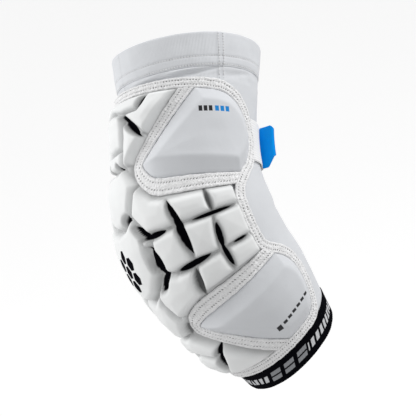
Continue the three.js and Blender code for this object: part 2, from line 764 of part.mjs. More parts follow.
const hemLine = -(upperLength - hemDepth);
const cuffLine = lowerLength - cuffDepth;
addPiece('sleeve', tube(hemLine + clearance, cuffLine - clearance, -sleeveWall, 0, true), whiteKnit);
addPiece('top_hem', tube(-upperLength, hemLine, -sleeveWall, hemProud, false), whiteKnit);
addPiece('forearm_cuff', tube(cuffLine, lowerLength, -sleeveWall, cuffProud, false), blackElastic);
addPiece('pad_lining', padLining(), blackLining);
addPiece('elbow_pad', elbowPad(), whiteFoam);
addPiece('edge_binding', edgeBinding(), whiteTape);
for (const bay of SIDE_PADS) {
  for (const [side, flip] of [['outer', false], ['inner', true]]) {
    const { tape, panel } = sidePad(bay, flip);
    addPiece(`${bay.name}_side_pad_${side}`, panel, whiteCloth);
    addPiece(`${bay.name}_seam_tape_${side}`, tape, whiteTape);
  }
}
addPiece('strap_landing', strapLanding(), whiteTape);
addPiece('closing_strap', closingStrap(), whiteTape);
addPiece('strap_tab', strapTab(), blueTab);

export default group;
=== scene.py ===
"""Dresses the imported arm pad: knit sleeve, moulded elbow pad, padded panels, tapes, stitches and strap.

Lengths on the pad are millimetres: x runs along the arm from the elbow towards the hand and y round
it from the middle of the padding towards the outer side. The surface function turns them into metres.
"""

import math

import bpy
import numpy as np
from bpy.props import FloatProperty, FloatVectorProperty, PointerProperty
from mathutils import Matrix, Vector


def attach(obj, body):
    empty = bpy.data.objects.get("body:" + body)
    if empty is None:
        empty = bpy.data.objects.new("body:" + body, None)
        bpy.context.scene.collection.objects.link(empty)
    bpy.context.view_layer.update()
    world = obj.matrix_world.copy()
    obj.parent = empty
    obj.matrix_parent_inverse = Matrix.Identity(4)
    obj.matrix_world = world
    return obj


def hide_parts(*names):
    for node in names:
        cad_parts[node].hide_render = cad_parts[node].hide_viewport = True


bl_info = {
    "name": "Lacrosse Arm Pad",
    "version": (1, 0, 0),
    "blender": (4, 5, 0),
    "location": "3D View > Sidebar > Arm Pad",
    "description": "Cloth, foam, tapes and stitches for a bent lacrosse arm pad",
    "category": "Object",
}

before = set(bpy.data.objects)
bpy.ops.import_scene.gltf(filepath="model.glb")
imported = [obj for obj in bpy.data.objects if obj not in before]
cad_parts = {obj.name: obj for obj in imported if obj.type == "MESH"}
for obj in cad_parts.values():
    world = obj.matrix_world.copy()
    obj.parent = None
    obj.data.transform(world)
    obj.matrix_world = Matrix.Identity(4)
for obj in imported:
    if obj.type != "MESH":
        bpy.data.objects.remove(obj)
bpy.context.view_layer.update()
MM = 0.001

# Arm that the sleeve is shaped to
ELBOW_BEND = math.radians(43)
BEND_RADIUS = 110.0
UPPER_LENGTH = 140.0
LOWER_LENGTH = 123.0
RIM_RADIUS = 64.0
ELBOW_RADIUS = 58.0
CUFF_RADIUS = 46.0
RIM_LEAN = 4.5
RIM_BOW = 2.5
CUFF_LEAN = 5.0
HALF_BEND = BEND_RADIUS * ELBOW_BEND / 2

# Cloth and elastic
SLEEVE_WALL = 1.6
HEM_DEPTH = 27.0
HEM_PROUD = 0.7
CUFF_DEPTH = 20.0
CUFF_PROUD = 0.6
CLEARANCE = 0.45

# Padding and tapes
PAD_TURN = -10.0
PAD_SPREAD = 92.5
PAD_TOP = 96.5
PAD_BOTTOM = 94.5
PAD_UNDER = 2.2
BINDING_WIDTH = 8.0
TAPE_WIDTH = 8.5
SEAM_CLEARANCE = 0.75
STITCH_ROWS = (0.29, 0.71)
EDGE_PUCKER = 0.3
PER_DEGREE = math.radians(ELBOW_RADIUS)

# Half depths of the sleeve: share of the upper or lower length, radius, back, front and side shares
SECTIONS = [
    (-1.00, RIM_RADIUS, 0.955, 1.01, 0.85),
    (-0.45, ELBOW_RADIUS, 0.93, 0.93, 0.88),
    (0.00, ELBOW_RADIUS, 1.02, 0.98, 1.03),
    (0.45, ELBOW_RADIUS, 1.00, 0.93, 0.97),
    (1.00, CUFF_RADIUS, 1.10, 0.83, 1.00),
]

# Soft folds of the sleeve: share along, degrees round and reach, width and depth in elbow radii
FOLDS = [
    (-0.765, 75, 34, 0.07, 0.012),
    (-0.740, 28, 26, 0.06, 0.016),
    (-0.20, 180, 40, 0.14, 0.030),
    (0.08, 180, 48, 0.16, 0.040),
    (0.36, 180, 40, 0.14, 0.030),
]

# Sharp creases of the sleeve under its hem: start, end, width and rise in millimetres
CREASES = [
    ((-0.757, 20), (-0.768, 58), 1.5, -1.5),
    ((-0.772, 56), (-0.803, 88), 1.5, -1.7),
    ((-0.790, 44), (-0.806, 86), 1.4, 1.3),
    ((-0.778, 8), (-0.792, 40), 1.8, 0.9),
    ((-0.765, 92), (-0.790, 118), 2.0, -1.0),
]

# Inner edge of the binding: share along the arm, degrees round from the padding's middle
EDGE = [
    (-0.693, 0), (-0.693, 30), (-0.693, 60), (-0.690, 80), (-0.680, 96), (-0.643, 106),
    (-0.586, 113), (-0.514, 118), (-0.436, 120.5), (-0.357, 118.5), (-0.286, 113),
    (-0.221, 104), (-0.157, 96.5), (-0.090, 93), (0.000, 93), (0.105, 93), (0.220, 93),
    (0.276, 98), (0.341, 106), (0.423, 111.5), (0.528, 112), (0.642, 109), (0.724, 104.5),
    (0.772, 98), (0.772, 80), (0.772, 56), (0.772, 28),
]

# Seams between the elbow pad and the side pads: share, degrees and the corner's radius
SEAMS = {
    "upper": [(-0.693, 62.5, 0), (-0.322, 18, 8), (-0.246, 20, 8), (-0.170, 35, 9), (-0.157, 92.5, 0)],
    "lower": [(0.772, 57, 0), (0.423, 9.5, 8), (0.317, 14, 9), (0.260, 34, 16), (0.232, 93, 0)],
}

# Places where the cut lines of the elbow pad meet
CROSSINGS = {
    "topMiddle": (-0.689, 0), "topSlit": (-0.689, 40), "topSeam": (-0.689, 62),
    "brow": (-0.629, 0), "browSide": (-0.600, 15), "browSlit": (-0.607, 30),
    "upperSeam": (-0.450, 36), "neck": (-0.400, 0), "neckSide": (-0.407, 13),
    "throat": (-0.293, 0), "throatSide": (-0.300, 13), "noseSeam": (-0.310, 20),
    "chinSeam": (-0.236, 24), "crown": (-0.086, 0), "crownSlit": (-0.096, 10),
    "crownSide": (-0.125, 17), "seamTurn": (-0.170, 36), "longSlitTop": (-0.157, 45),
    "longSlitMiddle": (-0.053, 51), "capSide": (-0.043, 29), "capWaist": (0.098, 25),
    "capCorner": (0.171, 12), "capFoot": (0.203, 0), "crossSlit": (0.120, 36),
    "longSlitFoot": (0.108, 51), "lowerSeam": (0.245, 44), "lowerTurn": (0.309, 18),
    "shinSide": (0.220, 12), "tipTop": (0.350, 11), "tipFoot": (0.415, 8), "shinFoot": (0.431, 0),
    "tipTurn": (0.455, 12), "footSlitTop": (0.549, 26), "footSlitMiddle": (0.618, 19),
    "footFold": (0.570, 0), "footSlitFoot": (0.768, 9), "footMiddle": (0.768, 0),
    "footSeam": (0.768, 55), "flankSeam": (-0.157, 73), "flankEdge": (-0.157, 92),
    "flankMiddle": (-0.057, 73), "flankMiddleEdge": (-0.061, 92), "flankLow": (0.108, 68.5),
    "flankLowEdge": (0.108, 92), "flankFoot": (0.228, 71), "flankFootEdge": (0.228, 92),
}

# Blocks of the elbow pad; those that lie across its middle come first
MIDDLE_BLOCKS = [
    "topMiddle topSlit browSlit browSide brow",
    "brow browSide neckSide neck",
    "neck neckSide throatSide throat",
    "throat throatSide chinSeam crownSide crownSlit crown",
    "crown crownSlit crownSide capSide capWaist capCorner capFoot",
    "capFoot capCorner shinSide lowerTurn tipTop tipFoot shinFoot",
    "shinFoot tipFoot tipTurn footSlitTop footSlitMiddle footFold",
    "footFold footSlitMiddle footSlitFoot footMiddle",
]
CAP_BLOCK = 4
SIDE_BLOCKS = [
    "topSlit topSeam upperSeam browSide browSlit",
    "browSide upperSeam noseSeam throatSide neckSide",
    "chinSeam seamTurn longSlitTop longSlitMiddle capSide crownSide",
    "capSide longSlitMiddle longSlitFoot crossSlit capWaist",
    "capWaist crossSlit longSlitFoot lowerSeam lowerTurn shinSide capCorner",
    "footSlitTop footSeam footSlitFoot footSlitMiddle",
    "longSlitTop flankSeam flankMiddle longSlitMiddle",
    "flankSeam flankEdge flankMiddleEdge flankMiddle",
    "longSlitMiddle flankMiddle flankLow longSlitFoot",
    "flankMiddle flankMiddleEdge flankLowEdge flankLow",
    "flankLow flankLowEdge flankFootEdge flankFoot",
    "longSlitFoot flankLow flankFoot lowerSeam",
]

# Cuts through the foam: where each starts and ends, its width and how dark its floor is; at 1 the floor is
# dark, below 1 the cut is a shallower closed groove with painted shade of that strength
CUTS = [
    ((-0.668, 37), (-0.600, 29), 3.2, 1.0),
    ((-0.600, 12), (-0.455, 31), 4.4, 1.0),
    ((-0.332, 6), (-0.285, 9), 3.0, 1.0),
    ((-0.132, 14), (-0.096, 7), 3.2, 1.0),
    ((-0.088, 19), (-0.034, 28.5), 2.7, 1.0),
    ((-0.040, 23), (-0.046, 40), 2.7, 1.0),
    ((-0.145, 46), (-0.030, 52), 3.6, 1.0),
    ((-0.110, 49), (0.070, 52), 5.4, 1.0),
    ((-0.006, 25.5), (0.118, 28.5), 9.0, 1.0),
    ((0.108, 29.5), (0.162, 18.5), 5.0, 1.0),
    ((0.116, 37), (0.106, 62), 3.0, 1.0),
    ((-0.052, 59), (-0.058, 87), 2.0, 1.0),
    ((-0.012, 73), (0.110, 71), 3.6, 1.0),
    ((0.080, 71), (0.205, 71.5), 3.0, 1.0),
    ((0.108, 78), (0.108, 89), 1.5, 1.0),
    ((0.550, 26), (0.710, 12.5), 7.0, 1.0),
    ((-0.185, 72), (-0.060, 73.5), 3.6, 0.85),
    ((0.135, 48.5), (0.255, 44), 5.0, 0.9),
    ((0.335, 12.5), (0.425, 8), 4.2, 0.8),
    ((0.235, 13), (0.300, 15), 3.2, 0.4),
    ((-0.020, 23), (0.100, 24), 3.0, 0.15),
    ((-0.210, 22), (-0.140, 17), 2.4, 0.15),
]

# Where the sleeve's creases end along the arm
CREASE_FOOT = -92.0

# Hem: two sewn rows from the rim, their depth, the dip at its foot, its lip and the lap under it
HEM_ROWS = (19.0, 25.5)
HEM_DIP = 0.45
HEM_FOOT_DIP = 0.62
HEM_LIP = 2.0
HEM_LAP = 2.6

# Side seam: degrees round, ends along the arm, two sewn rows, height of its welt, depth of its line
SEAM_TURN = 88.0
SEAM_START = 2.0 - UPPER_LENGTH
SEAM_FOOT = -105.5
SEAM_ROWS = (-2.0, 2.0)
SEAM_WELT = 0.55
SEAM_LINE = 0.4

# Heights of the threads over the sleeve: in the hem's rows, and in the seam on the hem and below it
HEM_THREAD = HEM_PROUD - 0.42
SEAM_THREAD = (HEM_PROUD + 0.62, 0.3)

# Cuff: its lip, the height and number of its ribs, its waves and the layout of its woven marks
CUFF_LIP = 1.6
CUFF_RIB = 0.16
CUFF_RIBS = 120
CUFF_WAVE = 0.35
WOVEN_MIDDLE = LOWER_LENGTH - CUFF_DEPTH * 0.46
GREY_SPAN = (22.0, 69.4)
BAR_PITCH = 15.6
DOT_PITCH = 7.2

# Elbow pad: growth under the tapes, reach past the edge, foot of its border, crown of a block
PAD_GROWTH = 1.2
BAY_REACH = 4.0
PAD_FOOT = PAD_UNDER + 0.4
BLOCK_CROWN = 1.2

# Side pads: height of their back, foot of their border and crown
PANEL_UNDER = 0.9
PANEL_FOOT = 1.7
PANEL_CROWN = 0.9

# Binding and tapes: laps and gaps, drop of the edges, and shares across with heights of the back
BINDING_LAP = 0.4
BINDING_DROP = 1.5
BINDING_UNDER = ((0, 0.25, 0.45, 1), (2.0, 2.0, 0.6, 0.45))
TAPE_NEAR = 0.2
TAPE_GAP = 0.6
TAPE_DROP = 1.2
TAPE_UNDER = ((0, 0.2, 0.3, 1), (3.0, 3.0, 1.4, 1.9))

# Stitches of the tapes: depth of a row, pucker between them, radius of the painted shade at the needle
# holes and how deep threads lie
STITCH_DIP = 0.42
STITCH_PUCKER = 0.3
NEEDLE_HOLE = 1.05
THREAD_SINK = 0.5

# Strap, its landing and its tab; ends are degrees round from the back of the arm
STRAP_MIDDLE = -61.0
STRAP_WIDTH = 34.0
STRAP_THICKNESS = 1.3
STRAP_GAP = 0.6
STRAP_END = 153.0
STRAP_TUCK = 1.0
STRAP_CLIMB = (10.0, 24.0)
LANDING_END = 180.0
STRAP_OUT = STRAP_GAP + STRAP_THICKNESS + STRAP_GAP
BINDING_REACH = 120.5 + (BINDING_WIDTH + 2 * CLEARANCE) / PER_DEGREE
TAB_LAP = 0.5
TAB_LENGTH = 12.5
TAB_PEEL = math.radians(45)
TAB_THICKNESS = 1.8
TAB_CHAMFER = 8.0
TAB_CORNER = 3.0
TAB_LIP = 0.8

# Patch of hexagons on the elbow cap
SPOKES = (0.0, math.pi / 3, 2 * math.pi / 3)
HEXAGON = 3.3
EMBLEM_PLACE = (6.5, 0.0)

# Plain printed blocks of the side pads: middle, half lengths and ink
INK = (0.01, 0.01, 0.012)
BLUE_INK = (0.0, 0.22, 0.6)
PANEL_MARKS = {
    "upper": [(-78.0, y, 2.0, 1.15, INK) for y in (77.2, 80.6, 84.0)]
    + [(-78.0, y, 2.0, 1.3, BLUE_INK) for y in (88.4, 92.2, 96.0)],
    "lower": [(80.0, 70.6, 2.0, 1.8, INK)]
    + [(79.0 - 0.13 * (y - 76), y, 1.0, 1.5, INK) for y in (76.0, 80.5, 85.0, 89.5, 94.0, 98.5)],
}

# Fineness of the meshes: columns round a tube, grid steps in millimetres, rounds of easing
SLEEVE_ROUNDS = 320
CUFF_ROUNDS = 480
PAD_STEP = 0.85
PANEL_STEP = 0.9
EDGE_ROUNDS = 14

# Strength of the painted shade on the floors of the valleys and on the walls of the cuts
VALLEY_SHADE = 0.37
CUT_SHADE = 0.36

# Stage and camera in metres, with the photo's frame in pixels
FLOOR_HEIGHT = -0.33
STAGE_REACH = 3.6
STAGE_FLAT = 1.4
STAGE_RISE = 2.8
STAGE_GLOW = 0.47
CAMERA_TURN = math.radians(33)
CAMERA_RISE = math.radians(-9)
CAMERA_ROLL = math.radians(-4)
CAMERA_DISTANCE = 0.72
FRAME_PIXELS = 416
FOCAL_PIXELS = 900.0
ORIGIN_PIXEL = (205.0, 225.0)

# Lights: name, place, size in metres and power in watts
SURROUND = 0.66
LIGHTS = [
    ("key", (0.45, -0.85, 1.15), 0.6, 12),
    ("rim", (-1.1, 0.55, 0.35), 0.8, 9),
]


def along_of(share):
    """Millimetres along the arm for a share of its upper or lower length."""
    return share * (UPPER_LENGTH if share < 0 else LOWER_LENGTH)


def flat(share, degrees):
    """A place of the tables as a flat point in millimetres."""
    return along_of(share), degrees * PER_DEGREE


def smoothstep(value, start, end):
    """0 before start, 1 after end, smooth between them."""
    share = np.clip((value - start) / (end - start), 0, 1)
    return share * share * (3 - 2 * share)


def between(column, share):
    """Smooth value of a column of SECTIONS between its rows, never past them."""
    places = np.array([row[0] for row in SECTIONS])
    values = np.array([row[column] * row[1] for row in SECTIONS])
    rise = np.diff(values) / np.diff(places)
    slope = np.empty(len(places))
    slope[0], slope[-1] = rise[0], rise[-1]
    for i in range(1, len(places) - 1):
        before, after = rise[i - 1], rise[i]
        slope[i] = 0 if before * after <= 0 else 2 * before * after / (before + after)
    x = np.clip(share, places[0], places[-1])
    i = np.clip(np.searchsorted(places, x, side="right") - 1, 0, len(places) - 2)
    span = places[i + 1] - places[i]
    u = (x - places[i]) / span
    start = (1 + 2 * u) * (1 - u) ** 2 * values[i] + u * (1 - u) ** 2 * span * slope[i]
    return start + u * u * (3 - 2 * u) * values[i + 1] + u * u * (u - 1) * span * slope[i + 1]


def surface(along, degrees, out):
    """Points in metres at distances along, round and out from the sleeve's face."""
    along, degrees, out = np.broadcast_arrays(*(np.asarray(v, float) for v in (along, degrees, out)))
    angle = np.radians(degrees)
    share = np.where(along < 0, along / UPPER_LENGTH, along / LOWER_LENGTH)
    rim = (RIM_LEAN * np.cos(angle) - RIM_BOW * np.sin(angle) ** 2) * smoothstep(-share, 0.7, 0.83)
    cuff = CUFF_LEAN * np.cos(angle) * smoothstep(share, 0.5, 0.77)
    station = along + np.where(along < 0, rim, cuff)
    turn = np.clip(ELBOW_BEND / 2 + station / BEND_RADIUS, 0, ELBOW_BEND)
    beyond = station - np.clip(station, -HALF_BEND, HALF_BEND)
    depth = np.where(np.cos(angle) > 0, between(2, share), between(3, share)) + out
    width = between(4, share) + out
    reach = BEND_RADIUS + depth * np.cos(angle)
    x = BEND_RADIUS * math.cos(ELBOW_BEND / 2) - np.cos(turn) * reach + np.sin(turn) * beyond
    y = -width * np.sin(angle)
    z = BEND_RADIUS * math.sin(ELBOW_BEND / 2) - np.sin(turn) * reach - np.cos(turn) * beyond
    return np.stack([x, y, z], -1) * MM


def pad_surface(x, y, out):
    """Points in metres for flat places of the padding."""
    return surface(x, np.asarray(y) / PER_DEGREE + PAD_TURN, out)


def fold_depth(along, degrees):
    """How far the sleeve dips into its soft folds."""
    depth = np.zeros(np.broadcast(along, degrees).shape)
    for share, middle, reach, width, drop in FOLDS:
        across = (along - along_of(share)) / (width * ELBOW_RADIUS)
        sideways = ((degrees - middle + 540) % 360 - 180) / reach
        inside = (abs(across) < 1) & (abs(sideways) < 1)
        dip = drop * ELBOW_RADIUS * (np.cos(np.pi * np.clip(across, -1, 1)) + 1) / 2
        depth += np.where(inside, dip * (1 - np.clip(sideways, -1, 1) ** 2), 0)
    return depth


def creased(along, degrees):
    """How far the sleeve rises or dips in its creases."""
    rise = np.zeros(np.broadcast(along, degrees).shape)
    for start, end, width, height in CREASES:
        (ax, ay), (bx, by) = flat(*start), flat(*end)
        ex, ey = bx - ax, by - ay
        share = ((along - ax) * ex + (degrees * PER_DEGREE - ay) * ey) / (ex * ex + ey * ey)
        near = np.clip(share, 0, 1)
        away = np.hypot(along - ax - near * ex, degrees * PER_DEGREE - ay - near * ey)
        faded = smoothstep(share, -0.1, 0.3) * smoothstep(-share, -1.1, -0.7)
        rise += height * np.exp(-(away / width) ** 2) * faded
    return rise


def waviness(x, y, length):
    """A soft unevenness between -1 and 1 with hollows about length millimetres apart."""
    turn = 2 * np.pi / length
    first = np.sin(turn * (x + 0.31 * y) + 1.3) * np.sin(turn * (0.87 * y - 0.22 * x) + 0.4)
    second = np.sin(turn * 1.73 * (0.8 * x - 0.6 * y) + 2.1) * np.sin(turn * 1.61 * (0.55 * x + 0.84 * y))
    return 0.6 * first + 0.4 * second


def bulge(value):
    """0 at 0, 1 from 1 on, with an upright start and a round shoulder."""
    share = np.clip(value, 0, 1)
    return (1 - (1 - share) ** 2.2) ** 0.75


def ramp(value):
    """A straight rise from 0 to 1 with a narrow round shoulder."""
    share = np.clip(value, 0, 1.15)
    knee = np.clip((share - 0.85) / 0.3, 0, 1)
    return share - 0.15 * knee ** 2


def mirrored(outline):
    """A flat outline on the inner side."""
    return [(x, -y) for x, y in reversed(outline)]


def area(outline):
    """Signed area of a flat outline."""
    pairs = zip(outline, outline[1:] + outline[:1])
    return sum(p[0] * q[1] - q[0] * p[1] for p, q in pairs) / 2


def inset(outline, distances):
    """A flat outline with every edge moved inwards by its own distance."""
    sign = math.copysign(1, area(outline))
    moved = []
    for p, q, distance in zip(outline, outline[1:] + outline[:1], distances):
        length = math.hypot(q[0] - p[0], q[1] - p[1])
        dx, dy = (q[0] - p[0]) / length, (q[1] - p[1]) / length
        away = distance * sign
        moved.append((p[0] - dy * away, p[1] + dx * away, dx, dy))
    points = []
    for i, p in enumerate(outline):
        ax, ay, adx, ady = moved[i - 1]
        bx, by, bdx, bdy = moved[i]
        cross = adx * bdy - ady * bdx
        if abs(cross) < 0.05:
            points.append((bx, by, *p[2:]))
        else:
            reach = ((bx - ax) * bdy - (by - ay) * bdx) / cross
            points.append((ax + adx * reach, ay + ady * reach, *p[2:]))
    return points


def rounded(path, step):
    """An open flat path as points about step apart, with its corners rounded by their radii."""
    points = []

    def towards(p, q, distance):
        share = min(distance / math.hypot(q[0] - p[0], q[1] - p[1]), 0.45)
        return p[0] + (q[0] - p[0]) * share, p[1] + (q[1] - p[1]) * share

    for i, p in enumerate(path):
        if p[2] and 0 < i < len(path) - 1:
            enter, leave = towards(p, path[i - 1], p[2]), towards(p, path[i + 1], p[2])
            for u in np.linspace(0, 1, 9):
                weights = (1 - u) ** 2, 2 * u * (1 - u), u * u
                blend = list(zip(weights, (enter, p, leave)))
                points.append(tuple(sum(w * c[k] for w, c in blend) for k in (0, 1)))
        else:
            points.append(p[:2])
    return resampled(np.array(points), False, step)


def path_run(path):
    """Distance along a path at each of its points."""
    return np.concatenate([[0], np.cumsum(np.hypot(*np.diff(path, axis=0).T))])


def along_path(places, run, path):
    """Points of a flat path at given distances along it."""
    return np.stack([np.interp(places, run, path[:, k]) for k in (0, 1)], -1)


def matched(first, second):
    """Two flat paths, each as evenly spread points, as many as the shorter one has."""
    shares = np.linspace(0, 1, min(len(first), len(second)))
    return [along_path(shares, np.linspace(0, 1, len(path)), path) for path in (first, second)]


def resampled(points, closed, step):
    """Points along a flat path at even distances of about step."""
    if closed:
        points = np.vstack([points, points[:1]])
    run = path_run(points)
    count = max(2, round(run[-1] / step))
    even = along_path(np.linspace(0, run[-1], count + 1), run, points)
    return even[:-1] if closed else even


def smoothed(points, rounds):
    """A closed flat path with its bends eased."""
    for _ in range(rounds):
        points = 0.5 * points + 0.25 * (np.roll(points, 1, 0) + np.roll(points, -1, 0))
    return points


def edge_curve(away, step=1.0):
    """The binding's inner edge as a smooth closed path, moved outwards by away."""
    near = [flat(*row) for row in EDGE]
    path = near + mirrored(near)[:-1]
    points = smoothed(resampled(np.array(path), True, step), EDGE_ROUNDS)
    ahead = np.roll(points, -1, 0) - np.roll(points, 1, 0)
    ahead /= np.hypot(*ahead.T)[:, None]
    sign = math.copysign(1, area([tuple(p) for p in points]))
    normal = np.stack([ahead[:, 1], -ahead[:, 0]], -1) * sign
    return points + normal * away


def crossing(start, through, outline):
    """The first meeting of a straight path with a closed outline, as its index and point."""
    dx, dy = through[0] - start[0], through[1] - start[1]
    best = (math.inf, None, None)
    for index, p in enumerate(outline):
        q = outline[(index + 1) % len(outline)]
        ex, ey = q[0] - p[0], q[1] - p[1]
        cross = dx * ey - dy * ex
        if abs(cross) < 1e-9:
            continue
        reach = ((p[0] - start[0]) * ey - (p[1] - start[1]) * ex) / cross
        share = ((p[0] - start[0]) * dy - (p[1] - start[1]) * dx) / cross
        if 0 < reach < best[0] and 0 <= share <= 1:
            best = (reach, index, (start[0] + dx * reach, start[1] + dy * reach))
    return best[1], best[2]


def bay(name, seam_away, edge_away):
    """Seam path and whole outline of a side pad's bay, moved in from the seam and from the edge."""
    ring = [tuple(p) for p in edge_curve(-edge_away, 2.0)]
    seam = [(*flat(share, degrees), radius) for share, degrees, radius in SEAMS[name]]
    last = len(seam) - 1

    def drawn_out(inner, outer):
        return 2 * outer[0] - inner[0], 2 * outer[1] - inner[1], 0

    path = [drawn_out(seam[1], seam[0]), *seam[1:last], drawn_out(seam[last - 1], seam[last])]
    moved = inset(path, [seam_away] * last + [0])
    start, first = crossing(moved[1], moved[0], ring)
    end, final = crossing(moved[last - 1], moved[last], ring)
    line = rounded([(*first, 0), *moved[1:last], (*final, 0)], 1.0)
    if start < end:
        closing = ring[start + 1:end + 1][::-1]
    else:
        closing = ring[end + 1:start + 1]
    if abs(start - end) > len(ring) / 2:
        closing = ring[max(start, end) + 1:] + ring[:min(start, end) + 1]
        if start > end:
            closing = closing[::-1]
    outline = [tuple(p) for p in line] + closing[1:-1]
    return line, outline


def inside_distance(x, y, outline):
    """Distance of flat places from a closed outline, positive inside it."""
    points = np.asarray([p[:2] for p in outline])
    nearest = np.full(x.shape, np.inf)
    inside = np.zeros(x.shape, bool)
    for p, q in zip(points, np.roll(points, -1, 0)):
        ex, ey = q - p
        share = np.clip(((x - p[0]) * ex + (y - p[1]) * ey) / (ex * ex + ey * ey + 1e-12), 0, 1)
        nearest = np.minimum(nearest, np.hypot(x - p[0] - share * ex, y - p[1] - share * ey))
        crosses = (p[1] > y) != (q[1] > y)
        inside ^= crosses & (x < ex * (y - p[1]) / (ey if abs(ey) > 1e-12 else 1e-12) + p[0])
    return np.where(inside, nearest, -nearest)


def cut_distance(x, y, start, end, width):
    """Distance of flat places from the edge of a leaf-shaped cut, negative inside it."""
    (ax, ay), (bx, by) = flat(*start), flat(*end)
    ex, ey = bx - ax, by - ay
    share = np.clip(((x - ax) * ex + (y - ay) * ey) / (ex * ex + ey * ey), 0, 1)
    half = width / 2 * np.sin(np.pi * np.clip(share, 0.02, 0.98)) ** 0.6
    return np.hypot(x - ax - share * ex, y - ay - share * ey) - half


class Wire:
    """A shader socket whose Python operators add Math nodes."""

    def __init__(self, finish, socket):
        self.finish = finish
        self.socket = socket

    def math(self, operation, *others):
        """A Math node on this value and others."""
        values = {0: self}
        values.update({i + 1: other for i, other in enumerate(others)})
        return self.finish.node("ShaderNodeMath", {"operation": operation}, values)

    def __add__(self, other):
        return self.math("ADD", other)

    def __mul__(self, other):
        return self.math("MULTIPLY", other)

    def __sub__(self, other):
        return self.math("SUBTRACT", other)

    def __rsub__(self, other):
        return self.finish.node("ShaderNodeMath", {"operation": "SUBTRACT"}, {0: other, 1: self})

    def step(self, start, end):
        """0 before start, 1 after end, smooth between; end may lie before start."""
        values = {"Value": self, "From Min": start, "From Max": end, "To Min": 0.0, "To Max": 1.0}
        return self.finish.node("ShaderNodeMapRange", {"interpolation_type": "SMOOTHSTEP"}, values)


class Finish:
    """One procedural material on a Principled shader."""

    def __init__(self, name, roughness, specular=0.5, sheen=0.0):
        self.material = bpy.data.materials.new(name)
        self.material.use_nodes = True
        self.tree = self.material.node_tree
        self.tree.nodes.clear()
        self.output = self.tree.nodes.new("ShaderNodeOutputMaterial")
        self.shader = self.tree.nodes.new("ShaderNodeBsdfPrincipled")
        self.tree.links.new(self.shader.outputs[0], self.output.inputs["Surface"])
        self.shader.inputs["Roughness"].default_value = roughness
        self.shader.inputs["Specular IOR Level"].default_value = specular
        self.shader.inputs["Sheen Weight"].default_value = sheen
        chart = self.node("ShaderNodeAttribute", {"attribute_name": "chart"}, {}, "Vector")
        place = self.node("ShaderNodeSeparateXYZ", {}, {"Vector": chart}).socket.node
        self.x, self.y, self.w = (Wire(self, place.outputs[k]) for k in range(3))
        self.space = self.node("ShaderNodeTexCoord", {}, {}, "Object")

    def node(self, kind, settings, values, output=0):
        """A node of that type, with its settings, the values or links of its sockets, and one output."""
        made = self.tree.nodes.new(kind)
        for name, value in settings.items():
            setattr(made, name, value)
        for key, value in values.items():
            if isinstance(value, Wire):
                self.tree.links.new(value.socket, made.inputs[key])
            else:
                made.inputs[key].default_value = value
        return Wire(self, made.outputs[output])

    def noise(self, scale, detail=3.0):
        """A noise value between 0 and 1, scale in hollows for each metre."""
        values = {"Vector": self.space, "Scale": scale, "Detail": detail}
        return self.node("ShaderNodeTexNoise", {}, values)

    def wave(self, value, length):
        """A sine of a value in millimetres, between 0 and 1."""
        return (value * (2 * math.pi / length)).math("SINE") * 0.5 + 0.5

    def mix(self, mask, first, second):
        """Second colour over first where the mask is 1."""
        values = {"Factor": mask, 6: first, 7: second}
        return self.node("ShaderNodeMix", {"data_type": "RGBA"}, values, 2)

    def bump(self, height, distance, strength, under=None):
        """A bump of that height in metres; under is a bump that it adds to."""
        values = {"Height": height, "Distance": distance, "Strength": strength}
        if under is not None:
            values["Normal"] = under
        return self.node("ShaderNodeBump", {}, values)

    def over(self, mask, colour):
        """Lays a dull even colour over the shader where the mask is 1."""
        values = {"Base Color": colour, "Roughness": 1.0, "Specular IOR Level": 0.02}
        dull = self.node("ShaderNodeBsdfPrincipled", {}, values)
        below = Wire(self, self.shader.outputs[0])
        mixed = self.node("ShaderNodeMixShader", {}, {0: mask, 1: below, 2: dull})
        self.tree.links.new(mixed.socket, self.output.inputs["Surface"])

    def holes(self, across, along, pitch):
        """Mask of painted shade at needle holes in a row: 1 in each dot where across is near 0, at every
        pitch along it.
        """
        beat = self.wave(along + pitch / 4, pitch)
        return across.math("ABSOLUTE").step(0.75, 0.35) * beat.step(0.45, 0.85)

    def done(self, colour, normal=None, roughness=None):
        """Feeds the shader and gives the material."""
        for name, value in (("Base Color", colour), ("Normal", normal), ("Roughness", roughness)):
            if isinstance(value, Wire):
                self.tree.links.new(value.socket, self.shader.inputs[name])
            elif value is not None:
                self.shader.inputs[name].default_value = value
        return self.material


def rgba(colour, gain=1.0):
    """A colour property as four numbers, made lighter or darker by gain."""
    return tuple(min(1.0, c * gain) for c in colour[:3]) + (1.0,)


def material(name, build):
    """The material of that name, built once."""
    return bpy.data.materials.get(name) or build(name)


def knit_finish(name):
    """Fine stretch knit with columns of loops, a faint mottle and painted shade in the needle holes of its
    sewn rows.
    """
    look = bpy.context.scene.arm_pad_colours
    f = Finish(name, 0.82, 0.3, sheen=0.12)
    columns = f.wave(f.y, 1.1)
    rows = f.wave(f.x + columns * 0.35, 0.9)
    loops = columns * 0.6 + rows * 0.4
    shade = f.noise(60.0) * 0.6 + loops * 0.4
    colour = f.mix(shade, rgba(look.knit, 0.93), rgba(look.knit, 1.04))
    pitch = stitch_pitch()
    # Painted shade in the needle holes of the hem's rows and of the side seam's rows
    sewn = f.holes(f.x - (HEM_ROWS[0] - UPPER_LENGTH), f.y, pitch)
    sewn = sewn.math("MAXIMUM", f.holes(f.x - (HEM_ROWS[1] - UPPER_LENGTH), f.y, pitch))
    for side in SEAM_ROWS:
        row = f.holes(f.y - (SEAM_TURN * PER_DEGREE + side), f.x - SEAM_START, pitch)
        sewn = sewn.math("MAXIMUM", row * f.x.step(SEAM_FOOT + 1, SEAM_FOOT))
    sewn = sewn * (f.noise(260.0).step(0.38, 0.62) * 0.7 + 0.3)
    colour = f.mix(sewn, colour, rgba(look.knit, 0.5))
    soft = f.bump(f.noise(220.0), 0.0006, 0.25)
    return f.done(colour, f.bump(loops, 0.00022, 0.8, soft))


